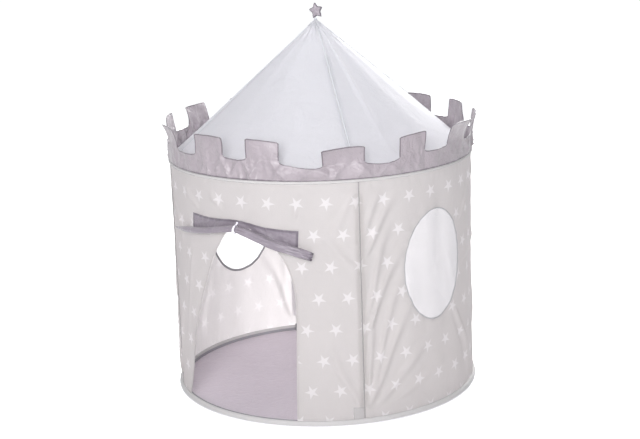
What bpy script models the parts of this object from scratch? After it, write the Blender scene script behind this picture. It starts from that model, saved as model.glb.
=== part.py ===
# Kids play tent: a round castle tent with two hoops, four folding poles, cloth walls and a cone roof.
# The door faces -Y, and azimuths count in degrees from the door towards +X.
import math

import bmesh
import bpy
from mathutils import Matrix, Vector

# Cloth and fits
CLOTH = 0.0012
SEAT = 0.0003
FOLD_GAP = 0.0005

# Wall and hems
WALL_RADIUS = 0.524
WALL_HEIGHT = 0.7904
WALL_FACETS = 80
HOOP_FACETS = 60
HOOP_WIRE = 0.004
HEM_HEIGHT = 0.020
HEM_DEPTH = 0.014
HEM_REACH = 0.009
PIPING = 0.010
PIPING_REACH = 0.005
FLOOR_BINDING_HEIGHT = 0.010

# Poles, in sections that meet at the knee and at the eave
POLE_WIRE = 0.005
FERRULE_WALL = 0.0012
FERRULE_LENGTH = 0.036
FOOT_TIP_WALL = 0.0014
FOOT_TIP_LENGTH = 0.014
FOOT_POCKET_BACK = 0.0016
FOOT_POCKET_HEIGHT = 0.026
POCKET_CHEEK = 0.0025
POCKET_REACH = 0.010
EAVE_POCKET_HEIGHT = 0.024
EAVE_STEP = 0.006
PEAK_CIRCLE = 0.014
SLEEVE_FLANGE = 0.009
SLEEVE_END_GAP = 0.040

# Seams, which the four poles follow
SEAMS = (45.0, 135.0, 225.0, 315.0)
POLE_NAMES = ("front_right", "back_right", "back_left", "front_left")
PANEL_NAMES = ("front", "right", "back", "left")

# Door opening: widths are measured to each side of the door line, straight across
DOOR_TOP = 0.665
DOOR_FOOT_LEFT = 0.292
DOOR_FOOT_RIGHT = 0.184
DOOR_SPRING_LEFT = 0.186
DOOR_SPRING_RIGHT = 0.194
DOOR_SPRING_HEIGHT = 0.37
DOOR_TAPE = 0.009

# Oval windows
WINDOW_WIDTH = 0.276
WINDOW_HEIGHT = 0.377
WINDOW_CENTRE_HEIGHT = 0.498
WINDOW_RIGHT = 77.0
WINDOW_LEFT = -109.5
WINDOW_TAPE = 0.008
WINDOW_LIFT_LEFT = -0.025

# Door curtain: a stitched header with the rest rolled up under it
HEADER_WIDTH = 0.406
HEADER_HEIGHT = 0.084
HEADER_LAP = 0.008
HEADER_TILT = 3.5
HEADER_SHIFT = 0.008
ROLL_CORE = 0.0035
ROLL_PITCH = 0.0048
ROLL_CLOTH = 0.0034
ROLL_TURNS = 2.25
ROLL_LEFT_END = -35.5
ROLL_RIGHT_END = 28.0
ROLL_TIE_DROP = 0.021
ROLL_DROP_LEFT = 0.037
ROLL_DROP_RIGHT = 0.072
ROLL_THIN_END = 0.62
TIE_WIDTH = 0.009

# Battlement
MERLONS = 14
MERLON_SHARE = 0.53
BAND_HEIGHT = 0.066
MERLON_HEIGHT = 0.066
BAND_INSET = 0.0015
BAND_PUCKER = 0.0025
MERLON_LEAN = 0.010

# Roof
ROOF_INSET = 0.006
ROOF_RISE = 0.4537
ROOF_TOP_RADIUS = 0.020
ROOF_RIDGE = 0.003
ROOF_RIDGE_SPREAD = 6.0
PEAK_CAP_RADIUS = 0.028
PEAK_CAP_FACETS = 20

# Star finial
STAR_REACH = 0.029
STAR_WAIST = 0.0135
STAR_THICKNESS = 0.018
STAR_TILT = 14.0
STAR_SWING = 20.0
TAB_WIDTH = 0.007
TAB_TOP_WIDTH = 0.003
TAB_LENGTH = 0.014

# Foot patches outside the wall, at the foot of each seam
PATCH_WIDTH = 0.034
PATCH_HEIGHT = 0.040
PATCH_FROM_SEAM = 0.003

# Colours as sRGB shares: wall cloth, roof cloth, mauve-grey cloth and trims
WALL_COLOUR = (0.86, 0.845, 0.84)
ROOF_COLOUR = (0.90, 0.90, 0.915)
MAUVE_COLOUR = (0.72, 0.68, 0.71)
CURTAIN_COLOUR = (0.56, 0.53, 0.57)
BINDING_COLOUR = (0.50, 0.49, 0.51)
HEM_COLOUR = (0.82, 0.81, 0.81)
MESH_COLOUR = (0.93, 0.93, 0.94)
RIBBON_COLOUR = (0.87, 0.86, 0.89)
WIRE_COLOUR = (0.55, 0.55, 0.56)
POLE_COLOUR = (0.88, 0.88, 0.86)
FERRULE_COLOUR = (0.70, 0.70, 0.72)
TIP_COLOUR = (0.15, 0.15, 0.16)

# Radii worked out from the sizes above
HOOP_APOTHEM = math.cos(math.pi / HOOP_FACETS)
HEM_OUTER = WALL_RADIUS + HEM_REACH
HEM_INNER = HEM_OUTER - HEM_DEPTH
PIPING_OUTER = WALL_RADIUS + PIPING_REACH
PIPING_INNER = PIPING_OUTER - PIPING
FLOOR_RADIUS = HEM_INNER * HOOP_APOTHEM - SEAT
BINDING_INNER = FLOOR_RADIUS - CLOTH
POLE_RADIUS = POLE_WIRE / 2
FERRULE_RADIUS = POLE_RADIUS + SEAT + FERRULE_WALL
TIP_RADIUS = POLE_RADIUS + SEAT + FOOT_TIP_WALL
FOOT_POCKET_OUTER = BINDING_INNER * HOOP_APOTHEM - SEAT
POLE_AT = FOOT_POCKET_OUTER - FOOT_POCKET_BACK - SEAT - TIP_RADIUS
KNEE_AT = POLE_AT + (FERRULE_RADIUS + POLE_RADIUS + FOLD_GAP) / 2
EAVE_POCKET_OUTER = PIPING_INNER * HOOP_APOTHEM - SEAT
ROOF_RADIUS = PIPING_OUTER - ROOF_INSET
BAND_OUTER = PIPING_OUTER - BAND_INSET
ROLL_RADIUS = ROLL_CORE + ROLL_PITCH * ROLL_TURNS
HEADER_OUTER = WALL_RADIUS + SEAT + CLOTH
ROLL_AT = HEADER_OUTER + SEAT + CLOTH + SEAT + ROLL_RADIUS
HEADER_TOP = DOOR_TOP + HEADER_LAP
ROLL_TIE_HEIGHT = HEADER_TOP - ROLL_TIE_DROP

# Heights worked out from the sizes above
WALL_FOOT = HEM_HEIGHT + SEAT
WALL_TOP = WALL_FOOT + WALL_HEIGHT
PIPING_FOOT = WALL_TOP + SEAT
BAND_FOOT = PIPING_FOOT + PIPING + SEAT
ROOF_SLOPE = math.atan2(ROOF_RISE, ROOF_RADIUS)
ROOF_FOOT = BAND_FOOT + CLOTH * math.cos(ROOF_SLOPE)
FOOT_BASE = CLOTH + SEAT
FOOT_HEIGHT = FOOT_BASE + FOOT_POCKET_BACK + SEAT + TIP_RADIUS
ROOF_POLE_DEPTH = (CLOTH + SEAT + POLE_RADIUS) / math.cos(ROOF_SLOPE)
ROOF_POLE_FOOT = ROOF_FOOT + (ROOF_RADIUS - POLE_AT) * math.tan(ROOF_SLOPE) - ROOF_POLE_DEPTH
EAVE_HEIGHT = ROOF_POLE_FOOT - EAVE_STEP
KNEE_HEIGHT = (FOOT_HEIGHT + EAVE_HEIGHT) / 2
PEAK_HEIGHT = ROOF_POLE_FOOT + (POLE_AT - PEAK_CIRCLE) * math.tan(ROOF_SLOPE)


def clear_scene():
    for old in list(bpy.data.objects):
        bpy.data.objects.remove(old, do_unlink=True)


def new_collection(name):
    made = bpy.data.collections.new(name)
    bpy.context.scene.collection.children.link(made)
    return made


clear_scene()
TENT = new_collection("kids_play_tent")
CUTTERS = new_collection("cutters")
CUTTERS.hide_render = True


def linear(share):
    return share / 12.92 if share <= 0.04045 else ((share + 0.055) / 1.055) ** 2.4


def material(name, colour, roughness, metallic=0.0):
    made = bpy.data.materials.new(name)
    made.use_nodes = True
    surface = made.node_tree.nodes["Principled BSDF"]
    surface.inputs["Base Color"].default_value = (*[linear(share) for share in colour], 1.0)
    surface.inputs["Roughness"].default_value = roughness
    surface.inputs["Metallic"].default_value = metallic
    return made


def add_part(name, mesh, colour, roughness=0.8, metallic=0.0, smooth=35.0):
    part = bpy.data.objects.new(name, mesh)
    TENT.objects.link(part)
    mesh.materials.clear()
    mesh.materials.append(material(name, colour, roughness, metallic))
    mesh.shade_smooth()
    mesh.set_sharp_from_angle(angle=math.radians(smooth))
    return part


def turned(azimuth):
    """Carries a shape made at the door, with outward as -Y, round to an azimuth."""
    return Matrix.Rotation(math.radians(azimuth), 4, "Z")


def on_circle(azimuth, radius, height):
    return turned(azimuth) @ Vector((0, -radius, height))


# Open sheets of cloth: a grid primitive bent to shape, which Solidify makes thick


def sheet_mesh(name, columns, rows, place):
    """A sheet whose two sides meet all the way up is welded into a tube there."""
    shape = bmesh.new()
    bmesh.ops.create_grid(shape, x_segments=columns, y_segments=rows, size=1)
    for vertex in shape.verts:
        vertex.co = place((vertex.co.x + 1) / 2, (vertex.co.y + 1) / 2)
    bmesh.ops.remove_doubles(shape, verts=shape.verts, dist=1e-6)
    mesh = bpy.data.meshes.new(name)
    shape.to_mesh(mesh)
    shape.free()
    return mesh


def thicken(part, thickness=CLOTH):
    solid = part.modifiers.new("thickness", "SOLIDIFY")
    solid.thickness = thickness
    solid.offset = -1
    solid.use_even_offset = True
    return part


def cut(part, cutter, operation="DIFFERENCE"):
    boolean = part.modifiers.new(operation.lower(), "BOOLEAN")
    boolean.operation = operation
    boolean.solver = "EXACT"
    boolean.object = cutter
    return part


def panel_place(panel, radius, foot, top):
    """Maps a sheet onto one quarter of the wall, with half a seat left at each seam."""
    margin = math.degrees(SEAT / 2 / radius)
    start = SEAMS[panel] - 90 + margin
    width = 90 - 2 * margin
    return lambda across, up: on_circle(start + width * across, radius, foot + (top - foot) * up)


def panel_sheet(name, panel, radius, colour, roughness=0.8, foot=WALL_FOOT, top=WALL_TOP):
    place = panel_place(panel, radius, foot, top)
    mesh = sheet_mesh(name, WALL_FACETS // 4, 1, place)
    return thicken(add_part(name, mesh, colour, roughness))


# Flat outlines, drawn as filled curves, that cut the openings out of the bent sheets


def outline_solid(name, points, thickness):
    curve = bpy.data.curves.new(name, "CURVE")
    curve.dimensions = "2D"
    curve.fill_mode = "BOTH"
    curve.extrude = thickness / 2
    spline = curve.splines.new("POLY")
    spline.points.add(len(points) - 1)
    for point, (x, y) in zip(spline.points, points):
        point.co = (x, y, 0, 1)
    spline.use_cyclic_u = True
    return curve_mesh(name, curve)


def curve_mesh(name, curve):
    """Turns a curve into a mesh with its caps welded on, and removes the curve."""
    drawn = bpy.data.objects.new(name, curve)
    CUTTERS.objects.link(drawn)
    bpy.context.view_layer.update()
    evaluated = drawn.evaluated_get(bpy.context.evaluated_depsgraph_get())
    mesh = bpy.data.meshes.new_from_object(evaluated)
    bpy.data.objects.remove(drawn)
    shape = bmesh.new()
    shape.from_mesh(mesh)
    bmesh.ops.remove_doubles(shape, verts=shape.verts, dist=1e-6)
    bmesh.ops.recalc_face_normals(shape, faces=shape.faces)
    shape.to_mesh(mesh)
    shape.free()
    return mesh


def add_cutter(name, mesh, place):
    cutter = bpy.data.objects.new(name, mesh)
    CUTTERS.objects.link(cutter)
    cutter.matrix_world = place
    cutter.hide_render = True
    cutter.display_type = "WIRE"
    return cutter


def wall_cutter(name, points, azimuth):
    """Stands an outline up at an azimuth, so that it reaches through the wall there."""
    depth = WALL_RADIUS
    upright = Matrix.Rotation(math.pi / 2, 4, "X")
    place = turned(azimuth) @ Matrix.Translation((0, -WALL_RADIUS, 0)) @ upright
    return add_cutter(name, outline_solid(name, points, depth), place)


def oval(width, height, centre, count=40):
    points = []
    for step in range(count):
        angle = 2 * math.pi * step / count
        points.append((width / 2 * math.cos(angle), centre + height / 2 * math.sin(angle)))
    return points


def door_width(foot, spring, power, height):
    """Half width of one side of the door: a slanted jamb that rounds over into the top."""
    slant = (foot - spring) / DOOR_SPRING_HEIGHT
    straight = spring + slant * (DOOR_SPRING_HEIGHT - height)
    if height <= DOOR_SPRING_HEIGHT:
        return straight
    rise = (height - DOOR_SPRING_HEIGHT) / (DOOR_TOP - DOOR_SPRING_HEIGHT)
    return straight * math.sqrt(max(0.0, 1 - rise**power))


def door_outline(grow=0.0, count=14):
    """The opening, run out below the wall. A positive grow widens it all round."""
    reach = DOOR_TOP - DOOR_SPRING_HEIGHT
    heights = [DOOR_SPRING_HEIGHT + reach * math.sin(math.pi / 2 * step / count) for step in range(count)]
    right = [(door_width(DOOR_FOOT_RIGHT, DOOR_SPRING_RIGHT, 2.4, z), z) for z in [0.0, *heights]]
    left = [(-door_width(DOOR_FOOT_LEFT, DOOR_SPRING_LEFT, 1.9, z), z) for z in [0.0, *heights]]
    points = [*right, (0.0, DOOR_TOP), *reversed(left)]
    if not grow:
        return points
    grown = []
    for number, point in enumerate(points):
        before = Vector(points[number - 1] if number else (points[0][0], -1.0))
        after = Vector(points[number + 1] if number + 1 < len(points) else (points[-1][0], -1.0))
        along = (after - before).normalized()
        grown.append((point[0] + grow * along.y, point[1] - grow * along.x))
    return [(grown[0][0], 0.0), *grown[1:-1], (grown[-1][0], 0.0)]


# Turned shapes: a profile of (radius, height) points with a Screw modifier


def turn(name, profile, facets, colour, roughness=0.8, metallic=0.0, closed=True, place=None):
    """The profile runs down its outer side. A closed one is a ring, an open one ends on the axis."""
    mesh = bpy.data.meshes.new(name)
    count = len(profile)
    edges = [(step, (step + 1) % count) for step in range(count if closed else count - 1)]
    mesh.from_pydata([(radius, 0, height) for radius, height in profile], edges, [])
    part = bpy.data.objects.new(name, mesh)
    TENT.objects.link(part)
    mesh.materials.append(material(name, colour, roughness, metallic))
    screw = part.modifiers.new("turn", "SCREW")
    screw.steps = facets
    screw.render_steps = facets
    screw.use_merge_vertices = True
    screw.merge_threshold = 1e-5
    screw.use_smooth_shade = True
    if place:
        part.matrix_world = place
    return part


def channel(outer, inner, foot, top, wall):
    """A hem folded round a hoop, in section: closed outside, open towards the middle."""
    return [
        (inner, top),
        (outer, top),
        (outer, foot),
        (inner, foot),
        (inner, foot + wall),
        (outer - wall, foot + wall),
        (outer - wall, top - wall),
        (inner, top - wall),
    ]


def ring(name, radius, height, wire, colour, roughness, metallic):
    bpy.ops.mesh.primitive_torus_add(
        major_radius=radius,
        minor_radius=wire / 2,
        major_segments=HOOP_FACETS,
        minor_segments=6,
        location=(0, 0, height),
    )
    made = bpy.context.object
    mesh = made.data
    mesh.transform(Matrix.Translation((0, 0, height)))
    bpy.data.objects.remove(made)
    return add_part(name, mesh, colour, roughness, metallic, smooth=80)


def rod(name, start, end, radius, colour, roughness, metallic=0.0, facets=12):
    """A straight rod between two points, with flat ends."""
    run = end - start
    bpy.ops.mesh.primitive_cylinder_add(vertices=facets, radius=radius, depth=run.length)
    made = bpy.context.object
    mesh = made.data
    bpy.data.objects.remove(made)
    aim = run.to_track_quat("Z", "Y").to_matrix().to_4x4()
    mesh.transform(Matrix.Translation((start + end) / 2) @ aim)
    return add_part(name, mesh, colour, roughness, metallic, smooth=40)


def box_mesh(name, low, high, azimuth=0.0):
    """A box given by two corners at the door, carried round to an azimuth."""
    size = Vector(high) - Vector(low)
    centre = (Vector(low) + Vector(high)) / 2
    place = turned(azimuth) @ Matrix.Translation(centre) @ Matrix.Diagonal((*size, 1))
    shape = bmesh.new()
    bmesh.ops.create_cube(shape, size=1, matrix=place)
    mesh = bpy.data.meshes.new(name)
    shape.to_mesh(mesh)
    shape.free()
    return mesh



# Floor, hoops and hems


def make_floor():
    bpy.ops.mesh.primitive_cylinder_add(vertices=HOOP_FACETS, radius=FLOOR_RADIUS, depth=CLOTH)
    made = bpy.context.object
    mesh = made.data
    bpy.data.objects.remove(made)
    turn_to_hem = Matrix.Rotation(math.pi / 2, 4, "Z")
    mesh.transform(Matrix.Translation((0, 0, CLOTH / 2)) @ turn_to_hem)
    add_part("floor_sheet", mesh, MAUVE_COLOUR, 0.6)
    foot = CLOTH + SEAT
    profile = [
        (BINDING_INNER, foot + FLOOR_BINDING_HEIGHT),
        (FLOOR_RADIUS, foot + FLOOR_BINDING_HEIGHT),
        (FLOOR_RADIUS, foot),
        (BINDING_INNER, foot),
    ]
    turn("floor_binding", profile, HOOP_FACETS, BINDING_COLOUR)


def make_hoops():
    hem = channel(HEM_OUTER, HEM_INNER, 0, HEM_HEIGHT, CLOTH)
    turn("bottom_hem", hem, HOOP_FACETS, HEM_COLOUR)
    piping = channel(PIPING_OUTER, PIPING_INNER, PIPING_FOOT, PIPING_FOOT + PIPING, CLOTH)
    turn("top_piping", piping, HOOP_FACETS, HEM_COLOUR)
    inset = CLOTH + SEAT + HOOP_WIRE / 2
    ring("bottom_hoop", HEM_OUTER - inset, HEM_HEIGHT / 2, HOOP_WIRE, WIRE_COLOUR, 0.35, 1.0)
    height = PIPING_FOOT + PIPING / 2
    ring("top_hoop", PIPING_OUTER - inset, height, HOOP_WIRE, WIRE_COLOUR, 0.35, 1.0)


# Walls, door and windows


def make_walls():
    door = wall_cutter("door_cutter", door_outline(), 0)
    windows = {
        1: wall_cutter("right_window_cutter", window_outline(0, 0), WINDOW_RIGHT),
        3: wall_cutter("left_window_cutter", window_outline(0, WINDOW_LIFT_LEFT), WINDOW_LEFT),
    }
    for panel, name in enumerate(PANEL_NAMES):
        wall = panel_sheet(f"{name}_wall", panel, WALL_RADIUS, WALL_COLOUR)
        if panel == 0:
            cut(wall, door)
        if panel in windows:
            cut(wall, windows[panel])


def window_outline(grow, lift):
    return oval(WINDOW_WIDTH + 2 * grow, WINDOW_HEIGHT + 2 * grow, WINDOW_CENTRE_HEIGHT + lift)


def make_window(side, panel, azimuth, lift):
    """White mesh that fills the oval, and a thin tape over its edge on the inside."""
    fill = wall_cutter(f"{side}_mesh_outline", window_outline(-SEAT, lift), azimuth)
    mesh = panel_sheet(f"{side}_window_mesh", panel, WALL_RADIUS, MESH_COLOUR)
    cut(mesh, fill, "INTERSECT")
    outer = wall_cutter(f"{side}_tape_outline", window_outline(WINDOW_TAPE / 2, lift), azimuth)
    inner = wall_cutter(f"{side}_tape_hole", window_outline(-WINDOW_TAPE / 2, lift), azimuth)
    tape_radius = WALL_RADIUS - CLOTH - SEAT
    tape = panel_sheet(f"{side}_window_binding", panel, tape_radius, BINDING_COLOUR)
    cut(tape, outer, "INTERSECT")
    cut(tape, inner)


def make_door_binding():
    outer = wall_cutter("door_tape_outline", door_outline(DOOR_TAPE), 0)
    inner = wall_cutter("door_tape_hole", door_outline(), 0)
    tape = panel_sheet("door_binding", 0, WALL_RADIUS - CLOTH - SEAT, WALL_COLOUR)
    cut(tape, outer, "INTERSECT")
    cut(tape, inner)


def make_foot_patch():
    """A small patch on the outside of the front wall, beside the foot of the pole on its right."""
    margin = math.degrees(PATCH_FROM_SEAM / WALL_RADIUS)
    width = math.degrees(PATCH_WIDTH / WALL_RADIUS)
    start = SEAMS[0] - margin - width
    radius = WALL_RADIUS + SEAT + CLOTH

    def place(across, up):
        return on_circle(start + width * across, radius, WALL_FOOT + PATCH_HEIGHT * up)

    mesh = sheet_mesh("foot_patch", 1, 1, place)
    thicken(add_part("foot_patch", mesh, BINDING_COLOUR))


# Poles: each is a lower and an upper section, then a roof pole


def make_pole(name, azimuth):
    foot = on_circle(azimuth, POLE_AT, FOOT_HEIGHT)
    knee = on_circle(azimuth, POLE_AT, KNEE_HEIGHT - SEAT / 2)
    above = on_circle(azimuth, POLE_AT, KNEE_HEIGHT + SEAT / 2)
    eave = on_circle(azimuth, POLE_AT, EAVE_HEIGHT)
    roof_foot = on_circle(azimuth, POLE_AT, ROOF_POLE_FOOT)
    peak = on_circle(azimuth, PEAK_CIRCLE, PEAK_HEIGHT)
    rod(f"{name}_lower_pole", foot, knee, POLE_RADIUS, POLE_COLOUR, 0.35)
    rod(f"{name}_upper_pole", above, eave, POLE_RADIUS, POLE_COLOUR, 0.35)
    rod(f"{name}_roof_pole", roof_foot, peak, POLE_RADIUS, POLE_COLOUR, 0.35)
    bore = POLE_RADIUS + SEAT
    ferrule = [
        (bore, 0),
        (FERRULE_RADIUS, 0),
        (FERRULE_RADIUS, -FERRULE_LENGTH),
        (bore, -FERRULE_LENGTH),
    ]
    turn(f"{name}_ferrule", ferrule, 12, FERRULE_COLOUR, 0.3, 1.0, place=Matrix.Translation(knee))
    make_foot_tip(f"{name}_foot_tip", foot, bore)


def make_foot_tip(name, foot, bore):
    """A rubber cup round the pole's foot, with a round end centred on the foot's pivot."""
    arc = [math.radians(30 * step) for step in range(4)]
    outer = [(TIP_RADIUS * math.cos(angle), -TIP_RADIUS * math.sin(angle)) for angle in arc]
    profile = [
        (0, -SEAT),
        (bore, -SEAT),
        (bore, FOOT_TIP_LENGTH),
        (TIP_RADIUS, FOOT_TIP_LENGTH),
        *outer[:-1],
        (0, -TIP_RADIUS),
    ]
    turn(name, profile, 12, TIP_COLOUR, 0.7, closed=False, place=Matrix.Translation(foot))


def make_foot_pocket(name, azimuth):
    """A cradle for the foot tip: a back, a base and two cheeks, open towards the middle."""
    half = TIP_RADIUS + SEAT
    wide = half + POCKET_CHEEK
    inner = FOOT_POCKET_OUTER - FOOT_POCKET_BACK - POCKET_REACH
    low = (-wide, -FOOT_POCKET_OUTER, FOOT_BASE)
    high = (wide, -inner, FOOT_BASE + FOOT_POCKET_HEIGHT)
    pocket = add_part(f"{name}_foot_pocket", box_mesh(name, low, high, azimuth), BINDING_COLOUR)
    low = (-half, -FOOT_POCKET_OUTER + FOOT_POCKET_BACK, FOOT_BASE + FOOT_POCKET_BACK)
    high = (half, -inner + CLOTH, FOOT_BASE + FOOT_POCKET_HEIGHT + CLOTH)
    hollow = box_mesh(name, low, high, azimuth)
    cut(pocket, add_cutter(f"{name}_foot_pocket_hollow", hollow, Matrix.Identity(4)))


def make_eave_pocket(name, azimuth):
    """The upper pole's head stands between the cheeks of a pocket sewn inside the top piping."""
    half = POLE_RADIUS + SEAT
    wide = half + POCKET_CHEEK
    face = POLE_AT + POLE_RADIUS + SEAT
    inner = face - POCKET_REACH
    foot = EAVE_HEIGHT - EAVE_POCKET_HEIGHT
    low = (-wide, -EAVE_POCKET_OUTER, foot)
    high = (wide, -inner, EAVE_HEIGHT)
    pocket = add_part(f"{name}_eave_pocket", box_mesh(name, low, high, azimuth), BINDING_COLOUR)
    low = (-half, -face, foot - CLOTH)
    high = (half, -inner + CLOTH, EAVE_HEIGHT + CLOTH)
    hollow = box_mesh(name, low, high, azimuth)
    cut(pocket, add_cutter(f"{name}_eave_pocket_hollow", hollow, Matrix.Identity(4)))


def sleeve_section(depth, half):
    """A strip that runs flat, stands off round the pole and runs flat again: (across, depth)."""
    shoulder = half + CLOTH + SEAT
    edge = shoulder + SLEEVE_FLANGE
    return [(-edge, 0), (-shoulder, 0), (-half, depth), (half, depth), (shoulder, 0), (edge, 0)]


def sleeve(name, section, start, end, outward, azimuth, colour):
    """A strip sewn behind a seam. start and end are (radius, height) on its flat back."""
    steps = len(section) - 1

    def place(across, up):
        side, depth = section[round(across * steps)]
        radius = start[0] + (end[0] - start[0]) * up
        height = start[1] + (end[1] - start[1]) * up
        return turned(azimuth) @ (Vector((side, -radius, height)) - depth * outward)

    thicken(add_part(name, sheet_mesh(name, steps, 1, place), colour))


def make_wall_sleeve(name, azimuth):
    half = FERRULE_RADIUS + SEAT
    section_width = half + CLOTH + SEAT + SLEEVE_FLANGE
    wall_inner = WALL_RADIUS - CLOTH
    fall = section_width * math.tan(math.pi / WALL_FACETS)
    back = wall_inner - fall - SEAT
    depth = back - (POLE_AT - half)
    start = (back, WALL_FOOT + SLEEVE_END_GAP)
    end = (back, WALL_TOP - SLEEVE_END_GAP)
    section = sleeve_section(depth, half)
    sleeve(f"{name}_wall_sleeve", section, start, end, Vector((0, -1, 0)), azimuth, WALL_COLOUR)


def make_roof_sleeve(name, azimuth):
    """The strip stops where the cone grows too tight for its flat flanges."""
    half = POLE_RADIUS + SEAT
    width = half + CLOTH + SEAT + SLEEVE_FLANGE
    outward = Vector((0, -math.sin(ROOF_SLOPE), math.cos(ROOF_SLOPE)))
    top_radius = POLE_AT / 4
    fall = width**2 / (2 * top_radius) * math.sin(ROOF_SLOPE)
    back_depth = CLOTH + SEAT + fall
    depth = CLOTH + SEAT + 2 * POLE_RADIUS + SEAT - back_depth
    start_radius = POLE_AT - SLEEVE_END_GAP
    ends = []
    for radius in (start_radius, top_radius):
        height = ROOF_FOOT + (ROOF_RADIUS - radius) * math.tan(ROOF_SLOPE)
        ends.append((radius - back_depth * math.sin(ROOF_SLOPE), height - back_depth * math.cos(ROOF_SLOPE)))
    section = sleeve_section(depth, half)
    sleeve(f"{name}_roof_sleeve", section, *ends, outward, azimuth, ROOF_COLOUR)


# Roof, peak and finial


def roof_place(across, up):
    """The cone, with a soft ridge where the cloth lies over each pole."""
    radius = ROOF_RADIUS + (ROOF_TOP_RADIUS - ROOF_RADIUS) * up
    height = ROOF_FOOT + (ROOF_RADIUS - radius) * math.tan(ROOF_SLOPE)
    azimuth = SEAMS[0] + 360 * across
    from_seam = 90 * abs((4 * across + 0.5) % 1 - 0.5)
    ridge = ROOF_RIDGE * math.exp(-((from_seam / ROOF_RIDGE_SPREAD) ** 2)) * math.sin(math.pi * up)
    lifted = height + ridge * math.cos(ROOF_SLOPE)
    return on_circle(azimuth, radius + ridge * math.sin(ROOF_SLOPE), lifted)


def make_roof():
    mesh = sheet_mesh("roof", WALL_FACETS, 4, roof_place)
    thicken(add_part("roof", mesh, ROOF_COLOUR))


def peak_cap_height(radius):
    lift = (SEAT + CLOTH + SEAT) / math.cos(ROOF_SLOPE)
    return ROOF_FOOT + (ROOF_RADIUS - radius) * math.tan(ROOF_SLOPE) + lift


def make_peak_cap():
    """A small cone of gathered cloth over the roof's open tip."""
    wall = CLOTH / math.cos(ROOF_SLOPE)
    flat = TAB_WIDTH / 2
    top = peak_cap_height(flat)
    profile = [
        (0, top - wall),
        (flat, top - wall),
        (PEAK_CAP_RADIUS, peak_cap_height(PEAK_CAP_RADIUS) - wall),
        (PEAK_CAP_RADIUS, peak_cap_height(PEAK_CAP_RADIUS)),
        (flat, top),
        (0, top),
    ]
    turn("peak_cap", list(reversed(profile)), PEAK_CAP_FACETS, ROOF_COLOUR, closed=False)
    return top


def star_radius(angle):
    """Reach of a five-point star at an angle, with a little roundness at its points."""
    fifth = 2 * math.pi / 5
    place = abs(((angle - math.pi / 2 + fifth / 2) % fifth) - fifth / 2) / (fifth / 2)
    return STAR_REACH + (STAR_WAIST - STAR_REACH) * math.sin(math.pi / 2 * place) ** 0.9


def make_finial(cap_top):
    """A stuffed star on a short tapered tab: a sphere drawn out to a star's outline."""
    tab_foot = cap_top + SEAT
    tab = [
        (-TAB_WIDTH / 2, tab_foot),
        (TAB_WIDTH / 2, tab_foot),
        (TAB_TOP_WIDTH / 2, tab_foot + TAB_LENGTH),
        (-TAB_TOP_WIDTH / 2, tab_foot + TAB_LENGTH),
    ]
    mesh = outline_solid("finial_tab", tab, CLOTH)
    mesh.transform(Matrix.Rotation(math.pi / 2, 4, "X"))
    add_part("finial_tab", mesh, MAUVE_COLOUR)
    shape = bmesh.new()
    bmesh.ops.create_uvsphere(shape, u_segments=30, v_segments=8, radius=1)
    for vertex in shape.verts:
        x, y, z = vertex.co
        flat = math.hypot(x, y)
        reach = star_radius(math.atan2(y, x)) if flat > 1e-6 else 0
        puff = STAR_THICKNESS / 2 * z * (1 - 0.35 * flat)
        vertex.co = (x * reach, -puff, y * reach)
    bmesh.ops.recalc_face_normals(shape, faces=shape.faces)
    tilt = math.radians(STAR_TILT)
    leg = math.radians(36)
    leg_fall = math.atan2(STAR_REACH * math.cos(leg) - STAR_WAIST, STAR_REACH * math.sin(leg))
    tab_reach = TAB_TOP_WIDTH / 2 * math.sin(leg_fall + tilt + math.radians(STAR_SWING))
    notch_lift = (tab_reach + SEAT) / math.cos(leg_fall + tilt)
    notch = Matrix.Translation((0, 0, tab_foot + TAB_LENGTH + notch_lift))
    place = notch @ Matrix.Rotation(tilt, 4, "Y") @ Matrix.Translation((0, 0, STAR_WAIST))
    bmesh.ops.transform(shape, matrix=place, verts=shape.verts)
    mesh = bpy.data.meshes.new("star_finial")
    shape.to_mesh(mesh)
    shape.free()
    add_part("star_finial", mesh, MAUVE_COLOUR, 0.7, smooth=60)


# Battlement


def battlement_azimuths():
    """Columns of cloth: four across each merlon and three across each gap, centred on the door line."""
    pitch = 360 / MERLONS
    found = []
    for number in range(MERLONS):
        start = (number + 0.5) * pitch - MERLON_SHARE * pitch / 2
        found += [start + MERLON_SHARE * pitch * step / 4 for step in range(4)]
        found += [start + MERLON_SHARE * pitch + (1 - MERLON_SHARE) * pitch * step / 3 for step in range(3)]
    return found


def battlement_radius(azimuth, share, number):
    """Outer radius: puckered between the hems of the band, with each merlon leaning its own way."""
    if share <= 1:
        pucker = BAND_PUCKER * math.sin(math.radians(azimuth * 28)) * math.sin(math.pi * share)
        return BAND_OUTER + pucker
    lean = MERLON_LEAN * (1 + 0.6 * math.sin(2.4 * number))
    return BAND_OUTER + lean * (share - 1) ** 1.5


def make_battlement():
    columns = battlement_azimuths()
    rows = [0, 0.5, 1, 1.5, 2]
    shape = bmesh.new()
    bmesh.ops.create_grid(shape, x_segments=len(columns), y_segments=len(rows) - 1, size=1)
    gaps = []
    for face in shape.faces:
        centre = face.calc_center_median()
        column = math.floor((centre.x + 1) / 2 * len(columns))
        if centre.y > 0 and column % 7 > 3:
            gaps.append(face)
    bmesh.ops.delete(shape, geom=gaps, context="FACES")
    for vertex in shape.verts:
        column = round((vertex.co.x + 1) / 2 * len(columns))
        share = rows[round((vertex.co.y + 1) / 2 * (len(rows) - 1))]
        azimuth = columns[column % len(columns)]
        merlon = ((column + 2) // 7) % MERLONS
        height = BAND_FOOT + BAND_HEIGHT * min(share, 1) + MERLON_HEIGHT * max(share - 1, 0)
        vertex.co = on_circle(azimuth, battlement_radius(azimuth, share, merlon), height)
    bmesh.ops.remove_doubles(shape, verts=shape.verts, dist=1e-6)
    mesh = bpy.data.meshes.new("battlement")
    shape.to_mesh(mesh)
    shape.free()
    thicken(add_part("battlement", mesh, MAUVE_COLOUR, 0.7))


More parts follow.
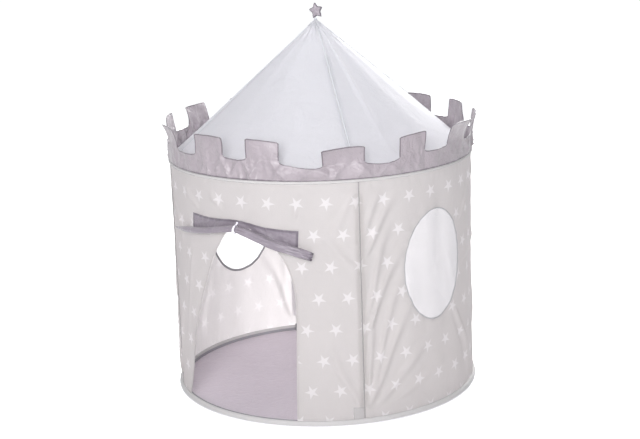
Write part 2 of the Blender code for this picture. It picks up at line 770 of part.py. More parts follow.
# Door curtain


def header_outline():
    tilt = Matrix.Rotation(-math.radians(HEADER_TILT), 2)
    corners = []
    for x, y in ((-1, -1), (1, -1), (1, 0), (-1, 0)):
        corner = tilt @ Vector((x * HEADER_WIDTH / 2, y * HEADER_HEIGHT))
        corners.append((corner.x + HEADER_SHIFT, corner.y + HEADER_TOP))
    return corners


def make_header():
    outline = wall_cutter("header_outline", header_outline(), 0)
    header = panel_sheet("curtain_header", 0, HEADER_OUTER, CURTAIN_COLOUR)
    cut(header, outline, "INTERSECT")


def spiral_section():
    """The rolled cloth seen from its end: a strip wound outwards, as one closed outline."""
    steps = round(ROLL_TURNS * 10)
    outer = []
    inner = []
    for step in range(steps + 1):
        angle = 2 * math.pi * step / 10 + math.pi / 2
        radius = ROLL_CORE + ROLL_PITCH * step / 10
        outer.append((radius * math.cos(angle), radius * math.sin(angle)))
        thin = radius - ROLL_CLOTH
        inner.append((max(thin, 0.0005) * math.cos(angle), max(thin, 0.0005) * math.sin(angle)))
    return outer, inner


def roll_centre(azimuth):
    """The roll hangs from its tie and droops to both ends."""
    if azimuth < 0:
        drop = ROLL_DROP_LEFT * (azimuth / ROLL_LEFT_END) ** 0.9
    else:
        drop = ROLL_DROP_RIGHT * (azimuth / ROLL_RIGHT_END) ** 1.15
    return on_circle(azimuth, ROLL_AT, ROLL_TIE_HEIGHT - drop)


def roll_scale(azimuth):
    """Thinner towards the left end, where less cloth is rolled in."""
    if azimuth >= 0:
        return 1 - 0.1 * (azimuth / ROLL_RIGHT_END) ** 2
    return 1 - (1 - ROLL_THIN_END) * (azimuth / ROLL_LEFT_END)


def make_roll():
    outer, inner = spiral_section()
    outline = bpy.data.curves.new("roll_section", "CURVE")
    outline.dimensions = "2D"
    spline = outline.splines.new("POLY")
    points = [*outer, *reversed(inner)]
    spline.points.add(len(points) - 1)
    for point, (x, y) in zip(spline.points, points):
        point.co = (x, y, 0, 1)
    spline.use_cyclic_u = True
    section = bpy.data.objects.new("roll_section", outline)
    CUTTERS.objects.link(section)
    section.hide_render = True
    section.display_type = "WIRE"
    stations = 14
    path = bpy.data.curves.new("curtain_roll", "CURVE")
    path.dimensions = "3D"
    path.bevel_mode = "OBJECT"
    path.bevel_object = section
    path.use_fill_caps = True
    path.twist_mode = "Z_UP"
    run = path.splines.new("POLY")
    run.points.add(stations)
    for step, point in enumerate(run.points):
        azimuth = ROLL_LEFT_END + (ROLL_RIGHT_END - ROLL_LEFT_END) * step / stations
        point.co = (*roll_centre(azimuth), 1)
        point.radius = roll_scale(azimuth)
    mesh = curve_mesh("curtain_roll", path)
    add_part("curtain_roll", mesh, CURTAIN_COLOUR, 0.6, smooth=50)
    least = (ROLL_PITCH - ROLL_CLOTH) * ROLL_THIN_END
    print(f"curtain roll: least gap between its turns {1000 * least:.2f} mm")


def make_tie():
    """One ribbon loop that hugs the roll at the door line."""
    inner = ROLL_RADIUS / math.cos(math.pi / 20) + SEAT
    outer = ROLL_AT - HEADER_OUTER - SEAT
    profile = [
        (inner, TIE_WIDTH / 2),
        (outer, TIE_WIDTH / 2),
        (outer, -TIE_WIDTH / 2),
        (inner, -TIE_WIDTH / 2),
    ]
    place = Matrix.Translation(roll_centre(0)) @ Matrix.Rotation(math.pi / 2, 4, "Y")
    turn("curtain_tie", profile, 20, RIBBON_COLOUR, place=place)


# Joints: an empty on every joint's axis, parented as the pieces carry each other


def add_pivot(name, place, parent):
    pivot = bpy.data.objects.new(name, None)
    TENT.objects.link(pivot)
    pivot.empty_display_size = 0.03
    pivot.parent = parent
    pivot.location = place - (parent.matrix_world.translation if parent else Vector())
    bpy.context.view_layer.update()
    return pivot


def carry(pivot, names):
    for name in names:
        part = bpy.data.objects[name]
        part.location -= pivot.matrix_world.translation
        part.parent = pivot


def make_joints():
    rings = {}
    for name, azimuth in zip(POLE_NAMES, SEAMS):
        foot = add_pivot(f"{name}_foot_pivot", on_circle(azimuth, POLE_AT, FOOT_HEIGHT), None)
        knee = add_pivot(f"{name}_knee_pivot", on_circle(azimuth, KNEE_AT, KNEE_HEIGHT), foot)
        carry(foot, [f"{name}_lower_pole", f"{name}_ferrule", f"{name}_foot_tip"])
        carry(knee, [f"{name}_upper_pole"])
        rings[name] = knee
    eave = on_circle(SEAMS[0], POLE_AT, EAVE_HEIGHT)
    top_ring = add_pivot("top_ring_pivot", eave, rings[POLE_NAMES[0]])
    carry(top_ring, ["top_hoop", "top_piping", "battlement", "roof"])
    for name in POLE_NAMES:
        carry(top_ring, [f"{name}_eave_pocket", f"{name}_roof_sleeve"])
    for name, azimuth in zip(POLE_NAMES, SEAMS):
        place = on_circle(azimuth, POLE_AT, ROOF_POLE_FOOT)
        carry(add_pivot(f"{name}_roof_pivot", place, top_ring), [f"{name}_roof_pole"])
    peak = add_pivot("peak_slide", Vector((0, 0, PEAK_HEIGHT)), top_ring)
    carry(peak, ["peak_cap", "finial_tab"])
    star_foot = bpy.data.objects["finial_tab"].data.vertices
    height = max(vertex.co.z for vertex in star_foot)
    carry(add_pivot("star_pivot", Vector((0, 0, height)), peak), ["star_finial"])
    header = add_pivot("curtain_slide", on_circle(0, HEADER_OUTER, HEADER_TOP), None)
    carry(header, ["curtain_header"])
    hang = roll_centre(0) + Vector((0, 0, ROLL_AT - HEADER_OUTER))
    carry(add_pivot("curtain_pivot", hang, header), ["curtain_roll", "curtain_tie"])


def main():
    make_floor()
    make_hoops()
    make_walls()
    make_window("right", 1, WINDOW_RIGHT, 0)
    make_window("left", 3, WINDOW_LEFT, WINDOW_LIFT_LEFT)
    make_door_binding()
    make_foot_patch()
    for name, azimuth in zip(POLE_NAMES, SEAMS):
        make_pole(name, azimuth)
        make_foot_pocket(name, azimuth)
        make_eave_pocket(name, azimuth)
        make_wall_sleeve(name, azimuth)
        make_roof_sleeve(name, azimuth)
    make_roof()
    make_finial(make_peak_cap())
    make_battlement()
    make_header()
    make_roll()
    make_tie()
    make_joints()


main()
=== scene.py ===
# Kids play tent: cloth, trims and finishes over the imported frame.
# The door faces -Y, and azimuths count in degrees from the door towards +X.
import math
import random

import bmesh
import bpy
import numpy as np
from mathutils import Matrix, Vector


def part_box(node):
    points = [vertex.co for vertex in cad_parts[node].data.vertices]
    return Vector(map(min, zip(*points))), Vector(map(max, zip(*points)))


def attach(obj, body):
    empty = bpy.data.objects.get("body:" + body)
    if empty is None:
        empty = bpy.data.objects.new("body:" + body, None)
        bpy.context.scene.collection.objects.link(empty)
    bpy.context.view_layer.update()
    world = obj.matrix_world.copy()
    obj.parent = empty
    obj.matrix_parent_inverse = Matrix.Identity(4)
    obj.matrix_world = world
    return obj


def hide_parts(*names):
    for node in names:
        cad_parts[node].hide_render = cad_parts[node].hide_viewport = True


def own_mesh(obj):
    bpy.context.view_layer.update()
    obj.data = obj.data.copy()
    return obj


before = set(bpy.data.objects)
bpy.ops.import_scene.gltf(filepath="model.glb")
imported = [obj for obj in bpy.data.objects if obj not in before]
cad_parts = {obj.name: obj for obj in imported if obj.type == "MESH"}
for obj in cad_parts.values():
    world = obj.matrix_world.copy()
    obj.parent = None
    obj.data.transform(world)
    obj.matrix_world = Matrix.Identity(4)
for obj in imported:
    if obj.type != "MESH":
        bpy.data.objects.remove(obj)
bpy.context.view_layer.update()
bpy.ops.object.select_all(action="DESELECT")
print("frame loaded:", len(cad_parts), "nodes")

# sizes shared by more than one piece, in metres, and the seams over the poles in degrees
tent = {
    "wallRadius": 0.524,
    "wallFoot": 0.0203,
    "wallTop": 0.8107,
    "cloth": 0.0006,
    "seams": (45.0, 135.0, 225.0, 315.0),
    "poles": ("front_right", "back_right", "back_left", "front_left"),
    "foldJoint": "front_right_foot_fold",
}


def rgb(red, green, blue):
    # a screen colour out of 255 as linear light
    shares = [value / 255 for value in (red, green, blue)]
    return tuple(s / 12.92 if s <= 0.04045 else ((s + 0.055) / 1.055) ** 2.4 for s in shares) + (1.0,)


# camera, light and floor

view = {
    "target": (-0.0072, -0.0047, 0.5712),
    "distance": 4.90,
    "azimuth": 32.2,
    "elevation": 13.55,
    "roll": -2.0,
    "lens": 77.9,
    "sensor": 36,
}


def makeCamera():
    cameraData = bpy.data.cameras.new("camera")
    cameraData.lens = view["lens"]
    cameraData.sensor_width = view["sensor"]
    camera = bpy.data.objects.new("camera", cameraData)
    bpy.context.scene.collection.objects.link(camera)
    around, above, lean = (math.radians(view[key]) for key in ("azimuth", "elevation", "roll"))
    level = math.cos(above)
    right = Vector((math.cos(around), math.sin(around), 0))
    back = Vector((math.sin(around) * level, -math.cos(around) * level, math.sin(above)))
    up = back.cross(right)
    cameraRight = math.cos(lean) * right + math.sin(lean) * up
    cameraUp = -math.sin(lean) * right + math.cos(lean) * up
    turn = Matrix((cameraRight, cameraUp, back)).transposed().to_4x4()
    camera.matrix_world = Matrix.Translation(Vector(view["target"]) + view["distance"] * back) @ turn
    bpy.context.scene.camera = camera


studio = {
    "ambient": 0.405,
    "ambientColour": (0.93, 0.97, 1.0, 1),
    "aim": (0, 0, 0.55),
    "floorSize": 80,
    "floorHeight": -0.0006,
    "floorColour": (0.86, 0.86, 0.86, 1),
    "floorGlow": 0.70,
    "lamps": {
        "key": {"place": (2.0, -4.3, 2.2), "size": 2.2, "power": 224},
        "left": {"place": (-3.8, -1.6, 2.2), "size": 2.4, "power": 13},
        "back": {"place": (-0.8, 3.8, 2.6), "size": 3.0, "power": 300},
        "top": {"place": (0.0, 0.2, 4.4), "size": 3.0, "power": 44},
    },
}
white = (1, 1, 1, 1)


def makeLamps():
    for name, facts in studio["lamps"].items():
        lampData = bpy.data.lights.new(name + "Light", "AREA")
        lampData.shape = "DISK"
        lampData.size = facts["size"]
        lampData.energy = facts["power"]
        lamp = bpy.data.objects.new(name + "Light", lampData)
        lamp.location = facts["place"]
        aim = Vector(studio["aim"]) - lamp.location
        lamp.rotation_euler = aim.to_track_quat("-Z", "Y").to_euler()
        bpy.context.scene.collection.objects.link(lamp)


def makeWorld():
    # the camera, mirrors and clear things see white, and the cloth gets the soft ambient light
    world = bpy.data.worlds.new("studio")
    bpy.context.scene.world = world
    world.use_nodes = True
    nodes, links = world.node_tree.nodes, world.node_tree.links
    nodes.clear()
    lights = []
    for colour, strength in ((studio["ambientColour"], studio["ambient"]), (white, 1.0)):
        light = nodes.new("ShaderNodeBackground")
        light.inputs["Color"].default_value = colour
        light.inputs["Strength"].default_value = strength
        lights.append(light)
    path = nodes.new("ShaderNodeLightPath")
    seen = path.outputs["Is Camera Ray"]
    for ray in ("Is Glossy Ray", "Is Transmission Ray"):
        either = nodes.new("ShaderNodeMath")
        either.operation = "MAXIMUM"
        links.new(seen, either.inputs[0])
        links.new(path.outputs[ray], either.inputs[1])
        seen = either.outputs[0]
    mix = nodes.new("ShaderNodeMixShader")
    links.new(seen, mix.inputs[0])
    links.new(lights[0].outputs[0], mix.inputs[1])
    links.new(lights[1].outputs[0], mix.inputs[2])
    out = nodes.new("ShaderNodeOutputWorld")
    links.new(mix.outputs[0], out.inputs["Surface"])


def makeStudioFloor():
    # a pale floor that glows white towards the camera only
    bpy.ops.mesh.primitive_plane_add(size=studio["floorSize"], location=(0, 0, studio["floorHeight"]))
    floor = bpy.context.object
    floor.name = "studioFloor"
    paint = bpy.data.materials.new("studioFloor")
    paint.use_nodes = True
    nodes, links = paint.node_tree.nodes, paint.node_tree.links
    shader = nodes["Principled BSDF"]
    shader.inputs["Base Color"].default_value = studio["floorColour"]
    shader.inputs["Roughness"].default_value = 0.9
    shader.inputs["Specular IOR Level"].default_value = 0.1
    shader.inputs["Emission Color"].default_value = white
    path = nodes.new("ShaderNodeLightPath")
    lift = nodes.new("ShaderNodeMath")
    lift.operation = "MULTIPLY"
    lift.inputs[1].default_value = studio["floorGlow"]
    links.new(path.outputs["Is Camera Ray"], lift.inputs[0])
    links.new(lift.outputs[0], shader.inputs["Emission Strength"])
    floor.data.materials.append(paint)


makeCamera()
makeLamps()
makeWorld()
makeStudioFloor()
bpy.context.scene.view_settings.view_transform = "Standard"
print("camera and studio set")


# shader groups: weave, tone, crumple, star print and netting


def newGroup(name, inputs, outputs):
    group = bpy.data.node_groups.new(name, "ShaderNodeTree")
    for label, kind, value in inputs:
        socket = group.interface.new_socket(label, in_out="INPUT", socket_type=kind)
        if value is not None:
            socket.default_value = value
    for label, kind in outputs:
        group.interface.new_socket(label, in_out="OUTPUT", socket_type=kind)
    return group, group.nodes.new("NodeGroupInput"), group.nodes.new("NodeGroupOutput")


def addMath(tree, operation, first, second=None, third=None):
    node = tree.nodes.new("ShaderNodeMath")
    node.operation = operation
    for socket, value in zip(node.inputs, (first, second, third)):
        if value is None:
            continue
        if isinstance(value, (int, float)):
            socket.default_value = value
        else:
            tree.links.new(value, socket)
    return node.outputs[0]


def plus(tree, first, second):
    return addMath(tree, "ADD", first, second)


def minus(tree, first, second):
    return addMath(tree, "SUBTRACT", first, second)


def times(tree, first, second):
    return addMath(tree, "MULTIPLY", first, second)


def addRange(tree, value, fromLow, fromHigh, toLow=0.0, toHigh=1.0, smooth=True):
    node = tree.nodes.new("ShaderNodeMapRange")
    node.interpolation_type = "SMOOTHSTEP" if smooth else "LINEAR"
    tree.links.new(value, node.inputs["Value"])
    limits = {"From Min": fromLow, "From Max": fromHigh, "To Min": toLow, "To Max": toHigh}
    for label, number in limits.items():
        node.inputs[label].default_value = number
    return node.outputs["Result"]


def addNoise(tree, vector, scale, detail=3.0, roughness=0.5, distortion=0.0):
    node = tree.nodes.new("ShaderNodeTexNoise")
    node.inputs["Scale"].default_value = scale
    node.inputs["Detail"].default_value = detail
    node.inputs["Roughness"].default_value = roughness
    node.inputs["Distortion"].default_value = distortion
    tree.links.new(vector, node.inputs["Vector"])
    return node.outputs["Fac"]


def splitVector(tree, vector):
    node = tree.nodes.new("ShaderNodeSeparateXYZ")
    tree.links.new(vector, node.inputs[0])
    return node.outputs[0], node.outputs[1], node.outputs[2]


def makeWeaveGroup():
    group, start, end = newGroup(
        "clothWeave",
        [("Vector", "NodeSocketVector", None), ("Threads", "NodeSocketFloat", 900.0)],
        [("Height", "NodeSocketFloat"), ("Shade", "NodeSocketFloat")],
    )
    across, up, _ = splitVector(group, start.outputs["Vector"])
    warp = times(group, across, start.outputs["Threads"])
    weft = times(group, up, start.outputs["Threads"])
    warpWave = addMath(group, "ABSOLUTE", addMath(group, "SINE", times(group, warp, math.pi)))
    weftWave = addMath(group, "ABSOLUTE", addMath(group, "SINE", times(group, weft, math.pi)))
    # over-and-under order of the two thread runs
    cell = plus(group, addMath(group, "FLOOR", warp), addMath(group, "FLOOR", weft))
    over = addMath(group, "FLOORED_MODULO", cell, 2.0)
    under = minus(group, 1.0, over)
    height = plus(group, times(group, warpWave, over), times(group, weftWave, under))
    slub = addNoise(group, start.outputs["Vector"], 260.0, 2.0)
    shade = plus(group, times(group, height, 0.6), times(group, slub, 0.4))
    group.links.new(height, end.inputs["Height"])
    group.links.new(shade, end.inputs["Shade"])
    return group


def makeToneGroup():
    group, start, end = newGroup(
        "clothTone",
        [("Vector", "NodeSocketVector", None), ("Broad", "NodeSocketFloat", 3.0)],
        [("Tone", "NodeSocketFloat"), ("Crumple", "NodeSocketFloat")],
    )
    broadScale = group.nodes.new("ShaderNodeVectorMath")
    broadScale.operation = "SCALE"
    group.links.new(start.outputs["Vector"], broadScale.inputs[0])
    group.links.new(start.outputs["Broad"], broadScale.inputs["Scale"])
    broad = addNoise(group, broadScale.outputs[0], 1.0, 4.0, 0.55)
    fine = addNoise(group, broadScale.outputs[0], 9.0, 3.0, 0.6)
    tone = plus(group, times(group, broad, 0.7), times(group, fine, 0.3))
    # soft ridges where two noise levels meet
    ridgeNoise = addNoise(group, broadScale.outputs[0], 4.0, 4.0, 0.6, 0.6)
    fold = addMath(group, "ABSOLUTE", minus(group, ridgeNoise, 0.5))
    crumple = addRange(group, fold, 0.0, 0.16, 1.0, 0.0)
    group.links.new(tone, end.inputs["Tone"])
    group.links.new(crumple, end.inputs["Crumple"])
    return group


printFacts = {
    "columns": 35,  # stars round the whole wall
    "rowPitch": 0.1045,
    "topRow": 0.748,
    "start": 0.0240,  # the top row's first star, round from the door
    "shift": 0.55,  # each row's stars move on by this share of the pitch
    "reach": 0.0252,
    "waist": 0.355,
    "turned": 180.0,  # one arm points down
    "tilt": 14.0,  # and sways by up to this much either way
    "softEdge": 0.0006,
}


def makeStarGroup():
    # plain five-point stars in staggered rows, each turned a little its own way
    group, start, end = newGroup(
        "starPrint", [("Vector", "NodeSocketVector", None)], [("Mask", "NodeSocketFloat")]
    )
    pitch = 2 * math.pi * tent["wallRadius"] / printFacts["columns"]
    across, up, _ = splitVector(group, start.outputs["Vector"])
    fromTop = minus(group, printFacts["topRow"], up)
    rowPlace = addMath(group, "DIVIDE", fromTop, printFacts["rowPitch"])
    row = addMath(group, "ROUND", rowPlace)
    localUp = times(group, minus(group, row, rowPlace), printFacts["rowPitch"])
    begun = minus(group, across, printFacts["start"])
    shifted = times(group, row, printFacts["shift"])
    moved = minus(group, addMath(group, "DIVIDE", begun, pitch), shifted)
    column = addMath(group, "ROUND", moved)
    localAcross = times(group, minus(group, moved, column), pitch)
    cell = group.nodes.new("ShaderNodeCombineXYZ")
    group.links.new(column, cell.inputs[0])
    group.links.new(row, cell.inputs[1])
    chance = group.nodes.new("ShaderNodeTexWhiteNoise")
    chance.noise_dimensions = "2D"
    group.links.new(cell.outputs[0], chance.inputs["Vector"])
    centred = minus(group, chance.outputs["Value"], 0.5)
    sway = times(group, centred, 2 * math.radians(printFacts["tilt"]))
    turn = plus(group, sway, math.radians(printFacts["turned"]))
    angle = plus(group, addMath(group, "ARCTAN2", localAcross, localUp), turn)
    fifth = 2 * math.pi / 5
    wrapped = addMath(group, "FLOORED_MODULO", plus(group, angle, fifth / 2), fifth)
    fold = addMath(group, "ABSOLUTE", minus(group, wrapped, fifth / 2))
    acrossSquare = times(group, localAcross, localAcross)
    upSquare = times(group, localUp, localUp)
    reach = addMath(group, "SQRT", plus(group, acrossSquare, upSquare))
    alongTip = times(group, reach, addMath(group, "COSINE", fold))
    fromTip = times(group, reach, addMath(group, "SINE", fold))
    # signed distance to the edge that runs from a point of the star to its waist
    tip = printFacts["reach"]
    waistAcross = tip * printFacts["waist"] * math.cos(fifth / 2)
    waistUp = tip * printFacts["waist"] * math.sin(fifth / 2)
    edge = Vector((waistAcross - tip, waistUp)).normalized()
    distance = plus(group, times(group, minus(group, alongTip, tip), edge.y), times(group, fromTip, -edge.x))
    soft = printFacts["softEdge"]
    group.links.new(addRange(group, distance, -soft, soft, 1.0, 0.0), end.inputs["Mask"])
    return group


def makeNetGroup():
    group, start, end = newGroup(
        "netting",
        [("Vector", "NodeSocketVector", None), ("Pitch", "NodeSocketFloat", 0.0018)],
        [("Mask", "NodeSocketFloat")],
    )
    across, up, _ = splitVector(group, start.outputs["Vector"])
    scaledAcross = addMath(group, "DIVIDE", across, start.outputs["Pitch"])
    scaledUp = addMath(group, "DIVIDE", up, start.outputs["Pitch"])
    first = plus(group, scaledAcross, scaledUp)
    second = minus(group, scaledAcross, scaledUp)
    gaps = []
    for run in (first, second):
        place = addMath(group, "FLOORED_MODULO", run, 1.0)
        gaps.append(addMath(group, "ABSOLUTE", minus(group, place, 0.5)))
    nearest = addMath(group, "MAXIMUM", gaps[0], gaps[1])
    group.links.new(addRange(group, nearest, 0.35, 0.44), end.inputs["Mask"])
    return group


weaveGroup = makeWeaveGroup()
toneGroup = makeToneGroup()
starGroup = makeStarGroup()
netGroup = makeNetGroup()


def placeGroup(tree, group, **links):
    node = tree.nodes.new("ShaderNodeGroup")
    node.node_tree = group
    for label, value in links.items():
        if isinstance(value, (int, float)):
            node.inputs[label].default_value = value
        else:
            tree.links.new(value, node.inputs[label])
    return node.outputs


def mixColours(tree, factor, first, second, blend="MIX"):
    node = tree.nodes.new("ShaderNodeMix")
    node.data_type = "RGBA"
    node.blend_type = blend
    for label, kind, value in (("Factor", "VALUE", factor), ("A", "RGBA", first), ("B", "RGBA", second)):
        socket = next(s for s in node.inputs if s.name == label and s.type == kind)
        if isinstance(value, (int, float, tuple)):
            socket.default_value = value
        else:
            tree.links.new(value, socket)
    return next(s for s in node.outputs if s.type == "RGBA")


def newMaterial(name):
    made = bpy.data.materials.new(name)
    made.use_nodes = True
    tree = made.node_tree
    return made, tree, tree.nodes["Principled BSDF"], tree.nodes["Material Output"]


def readAttribute(tree, name):
    node = tree.nodes.new("ShaderNodeAttribute")
    node.attribute_name = name
    return node.outputs["Fac"]


def addBump(tree, strength, distance, height, normal=None):
    node = tree.nodes.new("ShaderNodeBump")
    node.inputs["Strength"].default_value = strength
    node.inputs["Distance"].default_value = distance
    tree.links.new(height, node.inputs["Height"])
    if normal:
        tree.links.new(normal, node.inputs["Normal"])
    return node.outputs["Normal"]


# what a cloth has unless its own facts say otherwise
plainCloth = {
    "threads": 900.0,  # to the metre
    "broad": 3.0,  # scale of the tone and the crumples
    "stars": 0.0,
    "inside": None,
    "border": 0.0,
    "borderDepth": 0.4,
    "threadDepth": 0.10,
    "threadBump": 0.25,
    "crumpleBump": 0.25,
    "crumpleDepth": 0.0015,
    "gloss": 0.3,
    "sheen": 0.15,
    "through": 0.0,
    "net": 0.0,
}


def clothColour(tree, facts, flat, weave, tone):
    # tone, print, an inner side painted paler as painted light for the light that comes through the cloth,
    # and dark borders, then the shade of the threads over all
    colour = mixColours(tree, tone["Tone"], facts["dark"], facts["light"])
    if facts["stars"]:
        mask = placeGroup(tree, starGroup, Vector=flat)["Mask"]
        colour = mixColours(tree, times(tree, mask, facts["stars"]), colour, facts["starColour"])
    # painted light: the inner side is painted paler, standing in for the light that shines through the cloth
    if facts["inside"]:
        pale = facts["inside"]
        if facts["stars"]:
            pale = mixColours(tree, times(tree, mask, 0.9), pale, facts["starColour"])
        colour = mixColours(tree, readAttribute(tree, "inner"), colour, pale)
    if facts["border"]:
        edge = readAttribute(tree, "edge")
        line = addRange(tree, edge, facts["border"] * 0.7, facts["border"] * 1.3, 1.0, 0.0)
        depth = times(tree, line, facts["borderDepth"])
        colour = mixColours(tree, depth, colour, facts["borderColour"])
    shade = addRange(tree, weave["Shade"], 0.0, 1.0, 1 - facts["threadDepth"], 1.0, smooth=False)
    shadeColour = tree.nodes.new("ShaderNodeCombineColor")
    for label in ("Red", "Green", "Blue"):
        tree.links.new(shade, shadeColour.inputs[label])
    return mixColours(tree, 1.0, colour, shadeColour.outputs[0], "MULTIPLY")


def clothMaterial(name, ownFacts):
    # woven cloth with fine crumples, through which some light may come
    facts = {**plainCloth, **ownFacts}
    made, tree, shader, out = newMaterial(name)
    made.use_backface_culling = False
    uv = tree.nodes.new("ShaderNodeUVMap")
    uv.uv_map = "flat"
    flat = uv.outputs["UV"]
    solid = tree.nodes.new("ShaderNodeTexCoord").outputs["Object"]
    weave = placeGroup(tree, weaveGroup, Vector=flat, Threads=facts["threads"])
    tone = placeGroup(tree, toneGroup, Vector=solid, Broad=facts["broad"])
    colour = clothColour(tree, facts, flat, weave, tone)
    roughness = addRange(tree, tone["Tone"], 0.3, 0.7, facts["roughness"] - 0.05, facts["roughness"] + 0.05)
    threads = addBump(tree, facts["threadBump"], 0.0002, weave["Height"])
    normal = addBump(tree, facts["crumpleBump"], facts["crumpleDepth"], tone["Crumple"], threads)
    tree.links.new(colour, shader.inputs["Base Color"])
    tree.links.new(roughness, shader.inputs["Roughness"])
    tree.links.new(normal, shader.inputs["Normal"])
    shader.inputs["Specular IOR Level"].default_value = facts["gloss"]
    shader.inputs["Sheen Weight"].default_value = facts["sheen"]
    shader.inputs["Sheen Roughness"].default_value = 0.45
    if facts["through"]:
        glow = tree.nodes.new("ShaderNodeBsdfTranslucent")
        tree.links.new(colour, glow.inputs["Color"])
        tree.links.new(normal, glow.inputs["Normal"])
        mix = tree.nodes.new("ShaderNodeMixShader")
        mix.inputs[0].default_value = facts["through"]
        tree.links.new(shader.outputs[0], mix.inputs[1])
        tree.links.new(glow.outputs[0], mix.inputs[2])
        tree.links.new(mix.outputs[0], out.inputs["Surface"])
    if facts["net"]:
        mask = placeGroup(tree, netGroup, Vector=flat, Pitch=facts["net"])["Mask"]
        tree.links.new(mask, shader.inputs["Alpha"])
    return made


# the paler "inside" colours are painted light: the inner sides painted as lit by light coming through the
# cloth
clothFacts = {
    "wallCloth": {
        "dark": rgb(220, 217, 216), "light": rgb(230, 227, 226), "roughness": 0.62,
        "stars": 0.64, "starColour": rgb(250, 248, 249), "inside": rgb(243, 241, 242),
        "through": 0.66, "threads": 1100.0, "crumpleBump": 0.22, "sheen": 0.1,
    },
    "seamCloth": {
        "dark": rgb(208, 203, 203), "light": rgb(220, 215, 215), "roughness": 0.62,
        "through": 0.4, "inside": rgb(240, 238, 240), "threads": 1100.0, "crumpleBump": 0.3, "sheen": 0.1,
    },
    # the seam ridge is real, and its dark colour is partly painted shade: the dark line along each pole
    "seamRidgeWithShade": {
        "dark": rgb(138, 133, 135), "light": rgb(154, 149, 151), "roughness": 0.8,
        "threads": 1100.0, "crumpleBump": 0.3,
    },
    # on the roof seams this darker colour is partly painted shadow: the dark line along each roof pole
    "roofSeam": {
        "dark": rgb(194, 195, 200), "light": rgb(208, 209, 214), "roughness": 0.8,
        "threads": 1300.0, "crumpleBump": 0.3,
    },
    "starCloth": {
        "dark": rgb(146, 137, 146), "light": rgb(168, 159, 168), "roughness": 0.46, "threads": 1400.0,
        "crumpleBump": 0.5, "sheen": 0.25, "gloss": 0.5, "broad": 12.0,
        "border": 0.0034, "borderColour": rgb(92, 86, 94), "borderDepth": 0.8,
    },
    "roofCloth": {
        "dark": rgb(224, 224, 227), "light": rgb(235, 235, 238), "roughness": 0.55,
        "through": 0.62, "inside": rgb(246, 246, 249), "threads": 1300.0,
        "crumpleBump": 0.35, "crumpleDepth": 0.002, "sheen": 0.1, "gloss": 0.4,
    },
    "bandCloth": {
        "dark": rgb(151, 142, 149), "light": rgb(180, 170, 177), "roughness": 0.34, "through": 0.12,
        "threads": 1400.0, "crumpleBump": 0.5, "crumpleDepth": 0.0028, "broad": 6.0,
        "sheen": 0.25, "gloss": 0.6,
        "border": 0.0036, "borderColour": rgb(104, 96, 104), "borderDepth": 0.85,
    },
    "curtainCloth": {
        "dark": rgb(120, 111, 122), "light": rgb(146, 137, 147), "roughness": 0.38, "through": 0.05,
        "threads": 1500.0, "crumpleBump": 0.5, "crumpleDepth": 0.002, "broad": 8.0,
        "sheen": 0.3, "gloss": 0.6,
        "border": 0.0072, "borderColour": rgb(88, 80, 92), "borderDepth": 0.62,
    },
    "floorCloth": {
        "dark": rgb(181, 170, 180), "light": rgb(201, 191, 200), "roughness": 0.5, "threads": 1100.0,
        "crumpleBump": 0.5, "crumpleDepth": 0.003, "sheen": 0.15, "gloss": 0.45, "broad": 5.0,
    },
    "tapeCloth": {
        "dark": rgb(136, 134, 139), "light": rgb(158, 156, 161), "roughness": 0.7, "threads": 700.0,
        "threadBump": 0.5, "crumpleBump": 0.2, "sheen": 0.2,
    },
    "patchCloth": {
        "dark": rgb(160, 156, 157), "light": rgb(178, 174, 175), "roughness": 0.7,
        "threads": 700.0, "threadBump": 0.5,
    },
    "cordCloth": {
        "dark": rgb(232, 231, 234), "light": rgb(243, 242, 245), "roughness": 0.6,
        "threads": 1000.0, "crumpleBump": 0.2,
    },
    "hemCloth": {
        "dark": rgb(186, 183, 184), "light": rgb(200, 197, 198), "roughness": 0.6, "through": 0.1,
        "threads": 1000.0, "crumpleBump": 0.4, "crumpleDepth": 0.0015, "sheen": 0.15, "broad": 8.0,
    },
    "netCloth": {
        "dark": rgb(204, 203, 207), "light": rgb(217, 216, 220), "roughness": 0.85, "threads": 2200.0,
        "crumpleBump": 0.1, "net": 0.0018,
    },
    "ribbonSatin": {
        "dark": rgb(220, 216, 228), "light": rgb(238, 235, 243), "roughness": 0.32, "threads": 2400.0,
        "crumpleBump": 0.2, "sheen": 0.3, "gloss": 0.6,
    },
    "webbing": {
        "dark": rgb(112, 110, 115), "light": rgb(138, 136, 141), "roughness": 0.75, "threads": 520.0,
        "threadBump": 0.8, "crumpleBump": 0.1, "sheen": 0.2,
    },
    "stitchThread": {
        "dark": rgb(206, 202, 205), "light": rgb(228, 225, 228), "roughness": 0.6, "threads": 3000.0,
        "crumpleBump": 0.05, "sheen": 0.1,
    },
    "darkThread": {
        "dark": rgb(120, 112, 121), "light": rgb(142, 134, 143), "roughness": 0.55, "threads": 3000.0,
        "crumpleBump": 0.05, "sheen": 0.1,
    },
}
materials = {name: clothMaterial(name, facts) for name, facts in clothFacts.items()}


def rodMaterial(name, facts):
    # drawn rod or wire: fine lines along the length, with small scuffs
    made, tree, shader, _ = newMaterial(name)
    solid = tree.nodes.new("ShaderNodeTexCoord").outputs["Object"]
    stretch = tree.nodes.new("ShaderNodeMapping")
    stretch.inputs["Scale"].default_value = facts["stretch"]
    tree.links.new(solid, stretch.inputs["Vector"])
    lines = addNoise(tree, stretch.outputs["Vector"], 1.0, 3.0, 0.6)
    scuffs = addRange(tree, addNoise(tree, solid, 90.0, 4.0, 0.7), 0.58, 0.66)
    colour = mixColours(tree, lines, facts["dark"], facts["light"])
    colour = mixColours(tree, times(tree, scuffs, 0.35), colour, facts["scuff"])
    tree.links.new(colour, shader.inputs["Base Color"])
    rough = plus(tree, times(tree, scuffs, 0.2), facts["roughness"])
    tree.links.new(rough, shader.inputs["Roughness"])
    shader.inputs["Metallic"].default_value = facts.get("metallic", 0.0)
    tree.links.new(addBump(tree, 0.25, 0.0002, lines), shader.inputs["Normal"])
    return made


